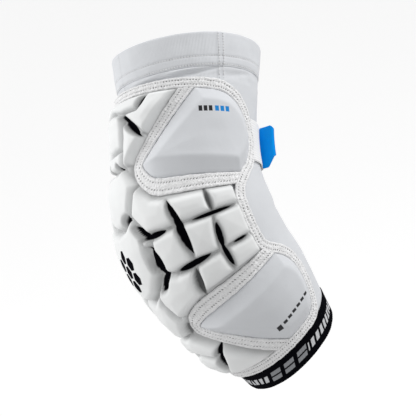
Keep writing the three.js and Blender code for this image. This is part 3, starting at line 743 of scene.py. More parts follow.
def cloth_finish(name, marks):
    """Smooth cloth over foam; marks are (middle x, middle y, half lengths, colour) on the panel."""
    look = bpy.context.scene.arm_pad_colours
    f = Finish(name, 0.78, 0.3, sheen=0.1)
    weave = f.wave(f.x + f.y, 0.9) * f.wave(f.x - f.y, 0.9)
    shade = f.noise(45.0) * 0.7 + weave * 0.3
    colour = f.mix(shade, rgba(look.cloth, 0.95), rgba(look.cloth, 1.03))
    for x, y, half_x, half_y, ink in marks:
        across = (f.x - x).math("ABSOLUTE") - half_x
        along = (f.y - y).math("ABSOLUTE") - half_y
        mask = across.math("MAXIMUM", along).step(0.25, -0.1)
        colour = f.mix(mask, colour, rgba(ink))
    soft = f.bump(f.noise(160.0), 0.0007, 0.25)
    return f.done(colour, f.bump(weave, 0.00012, 0.7, soft))


def foam_finish(name):
    """Satin moulded foam skin with painted shade in its valleys and beside its cuts, dark on the floor of
    the cuts and in the printed hexagons.
    """
    look = bpy.context.scene.arm_pad_colours
    f = Finish(name, 0.5, 0.2)
    grain_shade = f.noise(70.0, 4.0)
    colour = f.mix(grain_shade, rgba(look.foam, 0.95), rgba(look.foam, 1.03))
    # Painted shade stored with the mesh darkens the valleys and the foam beside the cuts
    shade = f.node("ShaderNodeAttribute", {"attribute_name": "shade"}, {}, "Fac")
    colour = f.mix(shade, colour, rgba(look.dark))
    black = f.w.step(0.35, -0.15)
    for x, y in hexagons():
        spokes = [((f.x - x) * math.cos(a) + (f.y - y) * math.sin(a)).math("ABSOLUTE") for a in SPOKES]
        reach = spokes[0].math("MAXIMUM", spokes[1]).math("MAXIMUM", spokes[2])
        black = black.math("MAXIMUM", reach.step(HEXAGON, HEXAGON - 0.3))
    f.over(black, rgba(look.dark))
    grain = f.bump(f.noise(1800.0, 2.0), 0.00006, 0.6)
    return f.done(colour, grain, grain_shade * 0.12 + 0.44)


def tape_finish(name):
    """Sewn tape: x runs along it and y across it, with painted shade in the needle holes along the stitch
    rows.
    """
    look = bpy.context.scene.arm_pad_colours
    f = Finish(name, 0.85, 0.25, sheen=0.1)
    weave = f.wave(f.x, 0.8) * f.wave(f.y, 0.7)
    mottle = f.noise(520.0, 2.0).step(0.3, 0.7)
    shade = f.noise(110.0) * 0.3 + mottle * 0.4 + weave * 0.3
    colour = f.mix(shade, rgba(look.tape, 0.88), rgba(look.tape, 1.06))
    # Painted shade in the needle holes, uneven from hole to hole
    painted_hole_shade = f.w.step(0.25, 0.65) * (f.noise(330.0).step(0.4, 0.6) * 0.75 + 0.25)
    colour = f.mix(painted_hole_shade, colour, rgba(look.tape, 0.22))
    return f.done(colour, f.bump(weave, 0.00015, 0.7, f.bump(mottle, 0.0007, 0.8)))


def thread_finish(name):
    """Twisted sewing thread."""
    look = bpy.context.scene.arm_pad_colours
    f = Finish(name, 0.6, 0.4)
    shade = f.noise(900.0)
    return f.done(f.mix(shade, rgba(look.tape, 0.86), rgba(look.tape, 1.05)))


def cuff_finish(name):
    """Black woven elastic with a row of slanted dashes woven into its outer face."""
    look = bpy.context.scene.arm_pad_colours
    f = Finish(name, 0.9, 0.02)
    ribs = f.wave(f.y, 1.5)
    weft = f.wave(f.x, 0.7)
    base = f.mix(ribs * 0.6 + weft * 0.4, rgba(look.dark, 0.4), rgba(look.dark, 1.5))
    slanted = f.y + (f.x - WOVEN_MIDDLE) * 0.5
    first, last = GREY_SPAN
    grey = slanted.step(first, first + 0.4) * slanted.step(last, last - 0.4)
    large = (slanted * (1 / BAR_PITCH) - 0.44).math("FRACT")
    small = (slanted * (1 / DOT_PITCH)).math("FRACT")
    height = (f.x - WOVEN_MIDDLE).math("ABSOLUTE")
    bars = (large - 0.5).math("ABSOLUTE").step(0.37, 0.34) * height.step(4.3, 4.0) * height.step(0.5, 0.8)
    dots = (small - 0.5).math("ABSOLUTE").step(0.33, 0.28) * height.step(3.1, 2.8)
    tone = f.mix(grey, rgba(look.woven_white), rgba(look.woven_grey))
    mark = (grey * bars + (1.0 - grey) * dots) * f.w.step(0.6, 0.4)
    thread = f.mix(weft * 0.35, tone, rgba(look.dark))
    colour = f.mix(mark, base, thread)
    return f.done(colour, f.bump(ribs * 0.7 + weft * 0.3, 0.0003, 0.7))


def lining_finish(name):
    """Matt black knit."""
    look = bpy.context.scene.arm_pad_colours
    f = Finish(name, 0.9, 0.2)
    mottle = f.noise(900.0)
    colour = f.mix(mottle, rgba(look.dark, 0.8), rgba(look.dark, 1.6))
    return f.done(colour, f.bump(mottle, 0.0002, 0.5))


def elastic_finish(name):
    """White woven elastic with cords along the strap."""
    look = bpy.context.scene.arm_pad_colours
    f = Finish(name, 0.8, 0.3, sheen=0.1)
    cords = f.wave(f.x, 2.0)
    picks = f.wave(f.y, 0.9)
    shade = cords * 0.7 + picks * 0.3
    colour = f.mix(shade, rgba(look.tape, 0.84), rgba(look.tape, 1.02))
    return f.done(colour, f.bump(shade, 0.0003, 0.7))


def tab_finish(name):
    """Smooth soft blue moulding."""
    look = bpy.context.scene.arm_pad_colours
    f = Finish(name, 0.5, 0.08)
    shade = f.noise(300.0)
    colour = f.mix(shade, rgba(look.tab, 0.9), rgba(look.tab, 1.06))
    return f.done(colour, f.bump(f.noise(1500.0), 0.00008, 0.5), shade * 0.1 + 0.38)


def make_mesh(name, points, quads, attributes):
    """A smooth mesh object of four-sided faces with values stored at its points."""
    mesh = bpy.data.meshes.new(name)
    mesh.vertices.add(len(points))
    mesh.vertices.foreach_set("co", np.asarray(points, np.float32).ravel())
    quads = np.asarray(quads, np.int32)
    mesh.loops.add(quads.size)
    mesh.loops.foreach_set("vertex_index", quads.ravel())
    mesh.polygons.add(len(quads))
    mesh.polygons.foreach_set("loop_start", np.arange(0, quads.size, 4, dtype=np.int32))
    mesh.polygons.foreach_set("use_smooth", np.ones(len(quads), bool))
    mesh.update(calc_edges=True)
    mesh.validate()
    for key, value in attributes.items():
        value = np.asarray(value, np.float32)
        kind, field = ("FLOAT_VECTOR", "vector") if value.ndim == 2 else ("FLOAT", "value")
        mesh.attributes.new(key, kind, "POINT").data.foreach_set(field, value.ravel())
    made = bpy.data.objects.new(name, mesh)
    bpy.context.scene.collection.objects.link(made)
    return made


def finish_piece(piece, look, slot, *nodes):
    """Gives a piece its material and body and hides the solids that it stands for; slot is not used."""
    piece.data.materials.append(look)
    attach(piece, "root")
    if nodes:
        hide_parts(*nodes)


def ring_quads(rings, count, looped):
    """Faces between rings of count points each; every ring closes on itself."""
    last = rings if looped else rings - 1
    i, j = np.meshgrid(np.arange(last), np.arange(count), indexing="ij")
    here, there = i * count, (i + 1) % rings * count
    across = (j + 1) % count
    return np.stack([here + j, here + across, there + across, there + j], -1).reshape(-1, 4)


def tube_piece(name, alongs, inner_alongs, outer, inner, rounds=SLEEVE_ROUNDS):
    """A closed tube wall; outer and inner give its height at places along and round."""
    degrees = np.arange(rounds) * 360 / rounds
    d = degrees[:, None]
    face = surface(alongs[None], d, outer(alongs[None], d))
    back = surface(inner_alongs[None], d, inner(inner_alongs[None], d))
    points = np.concatenate([face, back[:, ::-1]], 1)
    places = np.concatenate([alongs, inner_alongs[::-1]])
    count = len(places)
    chart = np.zeros((rounds, count, 3))
    chart[..., 0] = places
    chart[..., 1] = d * PER_DEGREE
    chart[..., 2] = np.repeat([0.0, 1.0], [len(alongs), len(inner_alongs)])
    quads = ring_quads(rounds, count, True)
    return make_mesh(name, points.reshape(-1, 3), quads, {"chart": chart.reshape(-1, 3)})


def round_lip(near):
    """0 away from an edge, rising to 1 at it like a quarter circle."""
    return 1 - np.sqrt(1 - near ** 2)


def eased_ends(along, start, end, radius):
    """0 inside a stretch, rising to 1 over the last radius at both ends, as a round lip."""
    return round_lip(np.clip(1 - np.minimum(along - start, end - along) / radius, 0, 1))


def grid_quads(shape):
    """Faces between the points of a grid, in the grid's rows and columns."""
    index = np.arange(shape[0] * shape[1]).reshape(shape)
    return np.stack([index[:-1, :-1], index[1:, :-1], index[1:, 1:], index[:-1, 1:]], -1)


def trimmed_sheet(name, span_x, span_y, step, edge, height, under, side=1):
    """A closed padded sheet over the flat places where edge is positive.

    height gives its top and the values stored with it; side is -1 on the inner side."""
    xs = np.arange(span_x[0], span_x[1] + step, step)
    ys = np.arange(span_y[0], span_y[1] + step, step)
    x, y = np.meshgrid(xs, ys, indexing="ij")
    level = edge(x, y)
    corners = [level[:-1, :-1], level[1:, :-1], level[:-1, 1:], level[1:, 1:]]
    kept = np.minimum.reduce(corners) > -0.45 * step
    quads = grid_quads(x.shape)[kept]
    uses = np.bincount(quads.ravel(), minlength=x.size).reshape(x.shape)
    rim = (uses > 0) & (uses < 4)
    slope_x, slope_y = np.gradient(level, step)
    steep = np.maximum(slope_x ** 2 + slope_y ** 2, 0.25)
    move = np.where(rim, np.clip(level, -step, step), 0)
    x = x - move * slope_x / steep
    y = y - move * slope_y / steep
    used = np.flatnonzero(uses.ravel() > 0)
    number = np.full(x.size, -1)
    number[used] = np.arange(len(used))
    quads = number[quads]
    x, y = x.ravel()[used], y.ravel()[used]
    top, values = height(x, y)
    points = np.concatenate([pad_surface(x, side * y, top), pad_surface(x, side * y, under)])
    edges = np.concatenate([quads[:, [k, (k + 1) % 4]] for k in range(4)])
    keys = edges[:, 0].astype(np.int64) * len(used) + edges[:, 1]
    opposite = edges[:, 1].astype(np.int64) * len(used) + edges[:, 0]
    border = edges[~np.isin(keys, opposite)]
    walls = np.stack([border[:, 1], border[:, 0], border[:, 0] + len(used), border[:, 1] + len(used)], -1)
    faces = np.concatenate([quads, quads[:, ::-1] + len(used), walls])
    if side > 0:
        faces = faces[:, ::-1]
    chart = np.stack([x, y, values.get("third", np.full(len(x), 4.0))], -1)
    stored = {"chart": np.concatenate([chart, chart])}
    for key in values:
        if key != "third":
            stored[key] = np.concatenate([values[key], np.zeros(len(x))])
    return make_mesh(name, points, faces, stored)


def halved(path, closed):
    """A path with a point added in the middle of every step."""
    ends = np.vstack([path, path[:1]]) if closed else path
    whole = np.empty((len(path) + len(ends) - 1, 2))
    whole[0::2] = path
    whole[1::2] = (ends[:-1] + ends[1:]) / 2
    return whole


def puckered(inner, outer):
    """The two edges of a strip, drawn in and let out a little by its stitches."""
    run = path_run((inner + outer) / 2)
    ends = smoothstep(np.minimum(run, run[-1] - run), 0, 10)
    across = (outer - inner) / np.hypot(*(outer - inner).T)[:, None]
    first, second = (EDGE_PUCKER * ends * waviness(run, shift, 9) for shift in (0, 40))
    return inner + across * first[:, None], outer + across * second[:, None]


def strip_piece(name, inner, outer, closed, profile, underside, side=1):
    """A sewn strip between two paths; profile gives its heights, underside those of its back."""
    inner, outer = puckered(halved(inner, closed), halved(outer, closed))
    places = [0, 0.02, 0.06, 0.12, 0.2, 0.27, 0.31, 0.38]
    across = np.array([*places, 0.5, *(1 - place for place in reversed(places))])
    run = path_run((inner + outer) / 2)
    flat_points = inner[:, None] + (outer - inner)[:, None] * across[None, :, None]
    width = np.hypot(*(outer - inner).T)
    top = profile(run[:, None], across[None])
    low = np.interp(across, *underside)[None] + np.zeros_like(top)
    points_top = pad_surface(flat_points[..., 0], side * flat_points[..., 1], top)
    points_low = pad_surface(flat_points[..., 0], side * flat_points[..., 1], low)
    points = np.concatenate([points_top, points_low[:, ::-1]], 1)
    count = points.shape[1]
    pitch = stitch_pitch()
    # Painted shade at each needle hole, stored with the top of the strip
    beat = abs((run[:, None] / pitch) % 1 - 0.5) * 2
    row = np.minimum(*(abs(across - share) for share in STITCH_ROWS))[None] * width[:, None]
    painted_hole_shade = np.clip(1 - np.hypot((1 - beat) * pitch / 2, row) / NEEDLE_HOLE, 0, 1)
    chart = np.zeros(points.shape)
    chart[..., 0] = run[:, None]
    chart[..., 1] = np.concatenate([across, across[::-1]])[None] * width[:, None]
    chart[:, :len(across), 2] = painted_hole_shade
    quads = ring_quads(len(inner), count, closed)
    if not closed:
        quads = np.concatenate([quads, end_caps(len(inner), len(across), count)])
    if side < 0:
        quads = quads[:, ::-1]
    return make_mesh(name, points.reshape(-1, 3), quads, {"chart": chart.reshape(-1, 3)})


def end_caps(rings, half, count):
    """Faces that shut the first and the last ring of an open strip."""
    j = np.arange(half - 1)
    first = np.stack([j + 1, j, count - 1 - j, count - 2 - j], -1)
    last = first[:, ::-1] + (rings - 1) * count
    return np.concatenate([first, last])


def stitch_pitch():
    """Length of one stitch with its gap, in millimetres."""
    return bpy.context.scene.arm_pad_sewing.pitch / MM


def thread_row(starts, ends, outs, radius, place):
    """Short threads, each a tapered bead from a start to an end that sinks into the cloth."""
    sides = 5
    shares = np.array([0.0, 0.18, 0.5, 0.82, 1.0])
    swell = np.array([0.25, 0.8, 1.0, 0.8, 0.25])
    lift = np.array([-0.5, 0.35, 0.75, 0.35, -0.5])
    along = starts[:, None] + (ends - starts)[:, None] * shares[None, :, None]
    direction = ends - starts
    direction = direction / np.maximum(np.hypot(*direction.T), 1e-9)[:, None]
    normal = np.stack([-direction[:, 1], direction[:, 0]], -1)
    angle = np.arange(sides) * 2 * np.pi / sides
    r = radius * swell
    sideways = r[None, :, None] * np.cos(angle)[None, None]
    upward = r[None, :, None] * np.sin(angle)[None, None]
    upward = outs[:, None, None] + radius * lift[None, :, None] + upward
    flat_points = along[:, :, None] + normal[:, None, None] * sideways[..., None]
    points = place(flat_points[..., 0], flat_points[..., 1], upward)
    rings, count = len(shares), sides
    one = ring_quads(rings, count, False)
    quads = (np.arange(len(starts)) * rings * count)[:, None, None] + one[None]
    return points.reshape(-1, 3), quads.reshape(-1, 4)


def thread_piece(name, rows, place, radius):
    """One piece of many stitches; rows are paths with their height and distance at each point."""
    pitch = stitch_pitch()
    all_points, all_quads, offset = [], [], 0
    for path, outs, run in rows:
        middles = np.arange(pitch / 2, run[-1] - pitch / 2, pitch)
        half = pitch * 0.36
        starts, ends = (along_path(middles + way * half, run, path) for way in (-1, 1))
        height = np.interp(middles, run, outs)
        points, quads = thread_row(starts, ends, height, radius, place)
        all_points.append(points)
        all_quads.append(quads + offset)
        offset += len(points)
    made = make_mesh(name, np.concatenate(all_points), np.concatenate(all_quads), {})
    finish_piece(made, material("sewing_thread", thread_finish), "white_tape")


class ArmPadMoulding(bpy.types.PropertyGroup):
    """Heights of the padding over the sleeve."""

    block_top: FloatProperty(
        name="Block Top", description="Height of the foam blocks over the sleeve",
        default=12.4 * MM, unit="LENGTH")
    cap_rise: FloatProperty(
        name="Cap Rise", description="How much higher the elbow cap stands",
        default=1.3 * MM, unit="LENGTH")
    valley: FloatProperty(
        name="Valley", description="Height of the uncut valleys between blocks",
        default=6.2 * MM, unit="LENGTH")
    cut_floor: FloatProperty(
        name="Cut Floor", description="Height of the floor of the cuts",
        default=4.6 * MM, unit="LENGTH")
    bevel: FloatProperty(
        name="Block Bevel", description="Width of the round shoulder of a block",
        default=3.8 * MM, unit="LENGTH")
    groove: FloatProperty(
        name="Groove", description="Width of the valleys' floors",
        default=1.2 * MM, unit="LENGTH")
    panel_top: FloatProperty(
        name="Panel Top", description="Height of the side pads over the sleeve",
        default=11.6 * MM, unit="LENGTH")
    panel_edge: FloatProperty(
        name="Panel Edge", description="Height of the side pads beside their seams",
        default=3.6 * MM, unit="LENGTH")
    panel_bevel: FloatProperty(
        name="Panel Bevel", description="Width of the side pads' sloping border",
        default=10.5 * MM, unit="LENGTH")


class ArmPadSewing(bpy.types.PropertyGroup):
    """Sizes of the tapes and stitches."""

    pitch: FloatProperty(
        name="Stitch Pitch", description="Length of one stitch with its gap",
        default=2.2 * MM, unit="LENGTH")
    thread: FloatProperty(
        name="Thread", description="Radius of the sewing thread",
        default=0.36 * MM, unit="LENGTH")
    tape_top: FloatProperty(
        name="Tape Top", description="Height of the seam tapes over the sleeve",
        default=4.5 * MM, unit="LENGTH")
    binding_top: FloatProperty(
        name="Binding Top", description="Height of the edge binding over the sleeve",
        default=3.9 * MM, unit="LENGTH")


class ArmPadColours(bpy.types.PropertyGroup):
    """Colours of the cloths, foam and tab."""

    knit: FloatVectorProperty(
        name="Knit", description="Sleeve and hem", subtype="COLOR", default=(0.68, 0.695, 0.72))
    cloth: FloatVectorProperty(
        name="Cloth", description="Side pads", subtype="COLOR", default=(0.66, 0.675, 0.70))
    tape: FloatVectorProperty(
        name="Tape", description="Binding, seam tapes, strap and thread", subtype="COLOR",
        default=(0.92, 0.92, 0.925))
    foam: FloatVectorProperty(
        name="Foam", description="Elbow pad", subtype="COLOR", default=(0.80, 0.81, 0.81))
    # Dark is also the colour that the foam's painted shade darkens towards
    dark: FloatVectorProperty(
        name="Dark", description="Cuff, lining and the floor of the cuts", subtype="COLOR",
        default=(0.0025, 0.0025, 0.004))
    woven_grey: FloatVectorProperty(
        name="Woven Grey", description="Grey dashes of the cuff", subtype="COLOR",
        default=(0.36, 0.37, 0.39))
    woven_white: FloatVectorProperty(
        name="Woven White", description="White dashes of the cuff", subtype="COLOR",
        default=(0.75, 0.76, 0.78))
    tab: FloatVectorProperty(
        name="Tab", description="Pull tab", subtype="COLOR", default=(0.0, 0.31, 0.90))
    stage: FloatVectorProperty(
        name="Stage", description="Floor and backdrop", subtype="COLOR", default=(0.8, 0.8, 0.8))


class ARMPAD_OT_stage(bpy.types.Operator):
    """Adds the pale floor, the soft lights and the camera"""
    bl_idname = "armpad.stage"
    bl_label = "Stage"

    def execute(self, context):
        floor_stage()
        soft_lights()
        photo_camera()
        return {"FINISHED"}


class ARMPAD_OT_sleeve(bpy.types.Operator):
    """Knits the sleeve with its soft folds"""
    bl_idname = "armpad.sleeve"
    bl_label = "Sleeve"

    def execute(self, context):
        lap = -(UPPER_LENGTH - HEM_DEPTH)
        start = lap - HEM_LAP
        end = LOWER_LENGTH - CUFF_DEPTH - CLEARANCE / 3
        outer = np.concatenate([
            np.linspace(start, CREASE_FOOT, 50, endpoint=False), np.linspace(CREASE_FOOT, end, 130)])
        inner = np.concatenate([
            np.linspace(start, CREASE_FOOT, 36, endpoint=False), np.linspace(CREASE_FOOT, end, 44)])

        def face(along, degrees):
            pucker = smoothstep(along, lap, lap + 3) * smoothstep(-along, 100, 106)
            ripple = waviness(along * 1.7, degrees * PER_DEGREE * 0.6, 19) * pucker * 0.3
            tucked = 0.4 * smoothstep(-along, -lap - 0.45, -lap + 0.1)
            loose = waviness(along, degrees * PER_DEGREE, 38) * 0.25
            seam = seam_ridge(along, degrees)
            folds = fold_depth(along, degrees) - creased(along, degrees) * smoothstep(along, lap, lap + 1)
            return ripple + (loose + seam) * (tucked == 0) - tucked - folds

        def back(along, degrees):
            return -SLEEVE_WALL - fold_depth(along, degrees) + np.minimum(creased(along, degrees), 0)

        piece = tube_piece("knit_sleeve", outer, inner, face, back)
        finish_piece(piece, material("stretch_knit", knit_finish), "white_knit", "sleeve")
        return {"FINISHED"}


def seam_ridge(along, degrees):
    """The flat side seam: a low welt with a hollow line in its middle, above the padding only."""
    across = abs(degrees - SEAM_TURN) * PER_DEGREE
    welt = SEAM_WELT * smoothstep(-across, -3.6, -2.4) - SEAM_LINE * smoothstep(-across, -0.9, -0.2)
    return welt * smoothstep(-along, 90, 100)


class ARMPAD_OT_hem(bpy.types.Operator):
    """Folds the hem round the upper rim"""
    bl_idname = "armpad.hem"
    bl_label = "Top Hem"

    def execute(self, context):
        start, end = -UPPER_LENGTH, -(UPPER_LENGTH - HEM_DEPTH)
        edge = np.array([0, 0.25, 0.6, 1.0, 1.5])
        outer = np.concatenate([start + edge, np.linspace(start + 2.2, end, 44)])
        inner = np.concatenate([start + np.array([0, 0.3, 0.8]), np.linspace(start + 1.6, end, 60)])
        wall = (SLEEVE_WALL + HEM_PROUD) / 2

        def face(along, degrees):
            lip = eased_ends(along, start, math.inf, HEM_LIP)
            rows = sum(np.exp(-((along - start - row) / 0.8) ** 2) for row in HEM_ROWS)
            puff = waviness(along, degrees * PER_DEGREE, 30) * 0.3
            foot = HEM_FOOT_DIP * smoothstep(along, end - 1.6, end)
            return HEM_PROUD + puff - wall * lip - HEM_DIP * rows + seam_ridge(along, degrees) - foot

        def back(along, degrees):
            lip = eased_ends(along, start, math.inf, HEM_LIP)
            lap = (SLEEVE_WALL - 0.2) * smoothstep(along, end - HEM_LAP - 1.0, end - HEM_LAP - 0.4)
            return -SLEEVE_WALL + wall * lip + lap + 0 * degrees

        piece = tube_piece("top_hem_band", outer, inner, face, back)
        finish_piece(piece, material("stretch_knit", knit_finish), "white_knit", "top_hem")
        return {"FINISHED"}


class ARMPAD_OT_cuff(bpy.types.Operator):
    """Weaves the elastic cuff"""
    bl_idname = "armpad.cuff"
    bl_label = "Forearm Cuff"

    def execute(self, context):
        start, end = LOWER_LENGTH - CUFF_DEPTH, LOWER_LENGTH
        lip = np.array([0, 0.2, 0.5, 0.9, 1.4])
        outer = np.concatenate([start + lip, np.linspace(start + 2, end - 2, 26), end - lip[::-1]])
        inner = np.concatenate([start + lip[:3], np.linspace(start + 1.5, end - 1.5, 8), end - lip[2::-1]])
        wall = (SLEEVE_WALL + CUFF_PROUD) / 2

        def face(along, degrees):
            ribs = CUFF_RIB * np.cos(np.radians(degrees) * CUFF_RIBS)
            wave = CUFF_WAVE * waviness(along, degrees * PER_DEGREE, 34)
            return CUFF_PROUD + ribs + wave - wall * eased_ends(along, start, end, CUFF_LIP)

        def back(along, degrees):
            return -SLEEVE_WALL + wall * eased_ends(along, start, end, CUFF_LIP) + 0 * degrees

        piece = tube_piece("elastic_cuff", outer, inner, face, back, CUFF_ROUNDS)
        finish_piece(piece, material("black_elastic_weave", cuff_finish), "black_elastic", "forearm_cuff")
        return {"FINISHED"}


def pad_edge(x, y):
    """Distance inside the elbow pad's outline, grown a little under the tapes."""
    level = np.minimum.reduce([x + PAD_TOP, PAD_BOTTOM - x, PAD_SPREAD * PER_DEGREE - abs(y)])
    for name in SEAMS:
        _, outline = bay(name, 0, -BAY_REACH)
        level = np.minimum(level, -inside_distance(x, abs(y), outline))
    return level + PAD_GROWTH


def block_relief(x, y):
    """Height of the elbow pad, the distance to its open cuts and the painted shade of its valleys and
    beside its cuts.
    """
    shape = bpy.context.scene.arm_pad_moulding
    top, valley, floor = shape.block_top / MM, shape.valley / MM, shape.cut_floor / MM
    bevel, groove = shape.bevel / MM, shape.groove / MM
    side = abs(y)
    inside = np.full(x.shape, -9.0)
    rise = np.zeros(x.shape)
    for number, names in enumerate(MIDDLE_BLOCKS + SIDE_BLOCKS):
        outline = [flat(*CROSSINGS[name]) for name in names.split()]
        if number < len(MIDDLE_BLOCKS):
            outline += [p for p in mirrored(outline) if abs(p[1]) > 0]
        distance = inside_distance(x, side, outline)
        rise = np.where(distance > inside, (shape.cap_rise / MM if number == CAP_BLOCK else 0), rise)
        inside = np.maximum(inside, distance)
    shoulder = bulge((inside - groove / 2) / bevel)
    # Painted shade, strongest on the valleys' floors
    shade = VALLEY_SHADE * (1 - shoulder) ** 1.4
    crown = rise + BLOCK_CROWN * smoothstep(inside, 2, 13) + 0.25 * waviness(x, y, 26)
    height = valley + (top - valley) * shoulder + crown * shoulder
    nearest = np.full(x.shape, 4.0)
    for start, end, width, tone in CUTS:
        gap = cut_distance(x, side, start, end, width)
        wall = floor + (valley - floor) * (1 - tone) * 0.5
        height = wall + (height - wall) * bulge((gap + 0.2) / 2.2)
        if tone == 1.0:
            nearest = np.minimum(nearest, gap)
            # Painted shade on the foam beside each open cut
            shade = np.maximum(shade, CUT_SHADE * (1 - smoothstep(gap, 0.2, 2.3)))
        else:
            # Closed groove: painted shade on its floor, as strong as its tone
            shade = np.maximum(shade, tone * np.clip(0.5 - gap / 1.4, 0, 1))
    border = pad_edge(x, y) - PAD_GROWTH
    ends = np.minimum(x + PAD_TOP, PAD_BOTTOM - x)
    share = bulge((border - 0.2) / 3.4) * (0.66 + 0.34 * smoothstep(ends, 1, 17))
    return PAD_FOOT + (height - PAD_FOOT) * share, nearest, shade


def hexagons():
    """Middles of a plain patch of seven hexagons on the elbow cap."""
    x, y = EMBLEM_PLACE
    reach = 2 * HEXAGON + 0.9
    turns = [k * math.pi / 3 for k in range(6)]
    ring = [(x + reach * math.cos(turn), y + reach * math.sin(turn)) for turn in turns]
    return [EMBLEM_PLACE, *ring]


class ARMPAD_OT_elbow_pad(bpy.types.Operator):
    """Moulds the segmented elbow pad and lines its cuts"""
    bl_idname = "armpad.elbow_pad"
    bl_label = "Elbow Pad"

    def execute(self, context):
        def height(x, y):
            top, gap, shade = block_relief(x, y)
            # shade is the painted shade of the valleys and of the foam beside the cuts
            return top, {"third": gap, "shade": shade}

        reach = PAD_SPREAD * PER_DEGREE + 2
        piece = trimmed_sheet(
            "moulded_elbow_pad", (-PAD_TOP - 2, PAD_BOTTOM + 2), (-reach, reach), PAD_STEP,
            pad_edge, height, PAD_UNDER)
        finish_piece(piece, material("moulded_foam", foam_finish), "white_foam", "elbow_pad")
        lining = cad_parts["pad_lining"]
        lining.data.materials.clear()
        lining.data.materials.append(material("black_lining_knit", lining_finish))
        return {"FINISHED"}


class ARMPAD_OT_side_pads(bpy.types.Operator):
    """Sews the four padded side panels"""
    bl_idname = "armpad.side_pads"
    bl_label = "Side Pads"

    def execute(self, context):
        shape = context.scene.arm_pad_moulding
        top, edge_height, bevel = shape.panel_top / MM, shape.panel_edge / MM, shape.panel_bevel / MM
        for name in SEAMS:
            _, outline = bay(name, SEAM_CLEARANCE + TAPE_WIDTH, 0)
            xs, ys = [p[0] for p in outline], [p[1] for p in outline]
            spans = (min(xs) - 2, max(xs) + 2), (min(ys) - 2, max(ys) + 2)

            def level(x, y, outline=outline):
                return inside_distance(x, y, outline) + 0.6

            def height(x, y, outline=outline):
                border = inside_distance(x, y, outline)
                wall = PANEL_FOOT + (edge_height - PANEL_FOOT) * bulge((border - 0.1) / 1.3)
                slope = (top - edge_height) * ramp(border / bevel)
                crown = PANEL_CROWN * smoothstep(border, bevel, bevel * 2.6) + 0.2 * waviness(x, y, 34)
                return wall + slope + crown * ramp(border / bevel), {}

            for side, label in ((1, "outer"), (-1, "inner")):
                piece = trimmed_sheet(
                    f"{name}_panel_{label}", *spans, PANEL_STEP, level, height, PANEL_UNDER, side)
                marks = PANEL_MARKS[name] if side > 0 else ()
                look = cloth_finish(f"panel_cloth_{name}_{label}", marks)
                finish_piece(piece, look, "white_cloth", f"{name}_side_pad_{label}")
        return {"FINISHED"}


def tape_profile(top, edge_drop):
    """Heights across a sewn strip, with two stitched hollows and small puckers between stitches."""
    pitch = stitch_pitch()

    def profile(run, across):
        lip = 1 - np.clip(np.minimum(across, 1 - across) / 0.09, 0, 1)
        rows = sum(np.exp(-((across - share) / 0.05) ** 2) for share in STITCH_ROWS)
        middle = np.exp(-((across - 0.5) / 0.16) ** 2)
        pucker = -STITCH_PUCKER * np.cos(2 * np.pi * run / pitch) * (rows - 0.5 * middle)
        loose = 0.3 * waviness(run, across * 9, 15)
        return top - edge_drop * round_lip(lip) - STITCH_DIP * rows + pucker + loose

    return profile


def tape_rows(inner, outer, profile, side):
    """The two stitch rows of a strip, a little under its face."""
    run = path_run((inner + outer) / 2)
    rows = []
    for share in STITCH_ROWS:
        path = inner + (outer - inner) * share
        rows.append((path * np.array([1, side]), profile(run, share) - THREAD_SINK, run))
    return rows


class ARMPAD_OT_tapes(bpy.types.Operator):
    """Sews the edge binding and the four seam tapes"""
    bl_idname = "armpad.tapes"
    bl_label = "Binding and Tapes"

    def execute(self, context):
        sewing = context.scene.arm_pad_sewing
        binding_top, tape_top = sewing.binding_top / MM, sewing.tape_top / MM
        look = material("sewn_tape", tape_finish)
        inner, outer = edge_curve(-BINDING_LAP), edge_curve(BINDING_WIDTH)
        profile = tape_profile(binding_top, BINDING_DROP)
        piece = strip_piece("sewn_edge_binding", inner, outer, True, profile, BINDING_UNDER)
        finish_piece(piece, look, "white_tape", "edge_binding")
        rows = tape_rows(inner, outer, profile, 1)
        thread_piece("binding_stitches", rows, pad_surface, sewing.thread / MM)
        profile = tape_profile(tape_top, TAPE_DROP)
        for name in SEAMS:
            near, _ = bay(name, TAPE_NEAR, TAPE_GAP)
            far, _ = bay(name, SEAM_CLEARANCE + TAPE_WIDTH, TAPE_GAP)
            near, far = matched(near, far)
            for side, label in ((1, "outer"), (-1, "inner")):
                piece = strip_piece(
                    f"{name}_tape_{label}", near, far, False, profile, TAPE_UNDER, side)
                finish_piece(piece, look, "white_tape", f"{name}_seam_tape_{label}")
                rows = tape_rows(near, far, profile, side)
                thread_piece(f"{name}_tape_stitches_{label}", rows, pad_surface, sewing.thread / MM)
        return {"FINISHED"}


class ARMPAD_OT_stitches(bpy.types.Operator):
    """Stitches the hem and the side seam"""
    bl_idname = "armpad.stitches"
    bl_label = "Hem and Seam Stitches"

    def execute(self, context):
        sewing = context.scene.arm_pad_sewing
        turn = np.linspace(0, 360, 721) * PER_DEGREE
        rows = []
        for row in HEM_ROWS:
            path = np.stack([np.full(len(turn), row - UPPER_LENGTH), turn], -1)
            outs = HEM_THREAD + seam_ridge(path[:, 0], turn / PER_DEGREE)
            outs = outs + 0.3 * waviness(path[:, 0], turn, 30)
            rows.append((path, outs, path_run(path)))
        stretch = np.linspace(SEAM_START, SEAM_FOOT, 90)
        for side in SEAM_ROWS:
            path = np.stack([stretch, np.full(len(stretch), SEAM_TURN * PER_DEGREE + side)], -1)
            on_hem = stretch < HEM_DEPTH - UPPER_LENGTH
            rows.append((path, np.where(on_hem, *SEAM_THREAD), path_run(path)))

        def place(x, y, out):
            return surface(x, y / PER_DEGREE, out)

        thread_piece("hem_stitches", rows, place, sewing.thread / MM * 0.85)
        return {"FINISHED"}


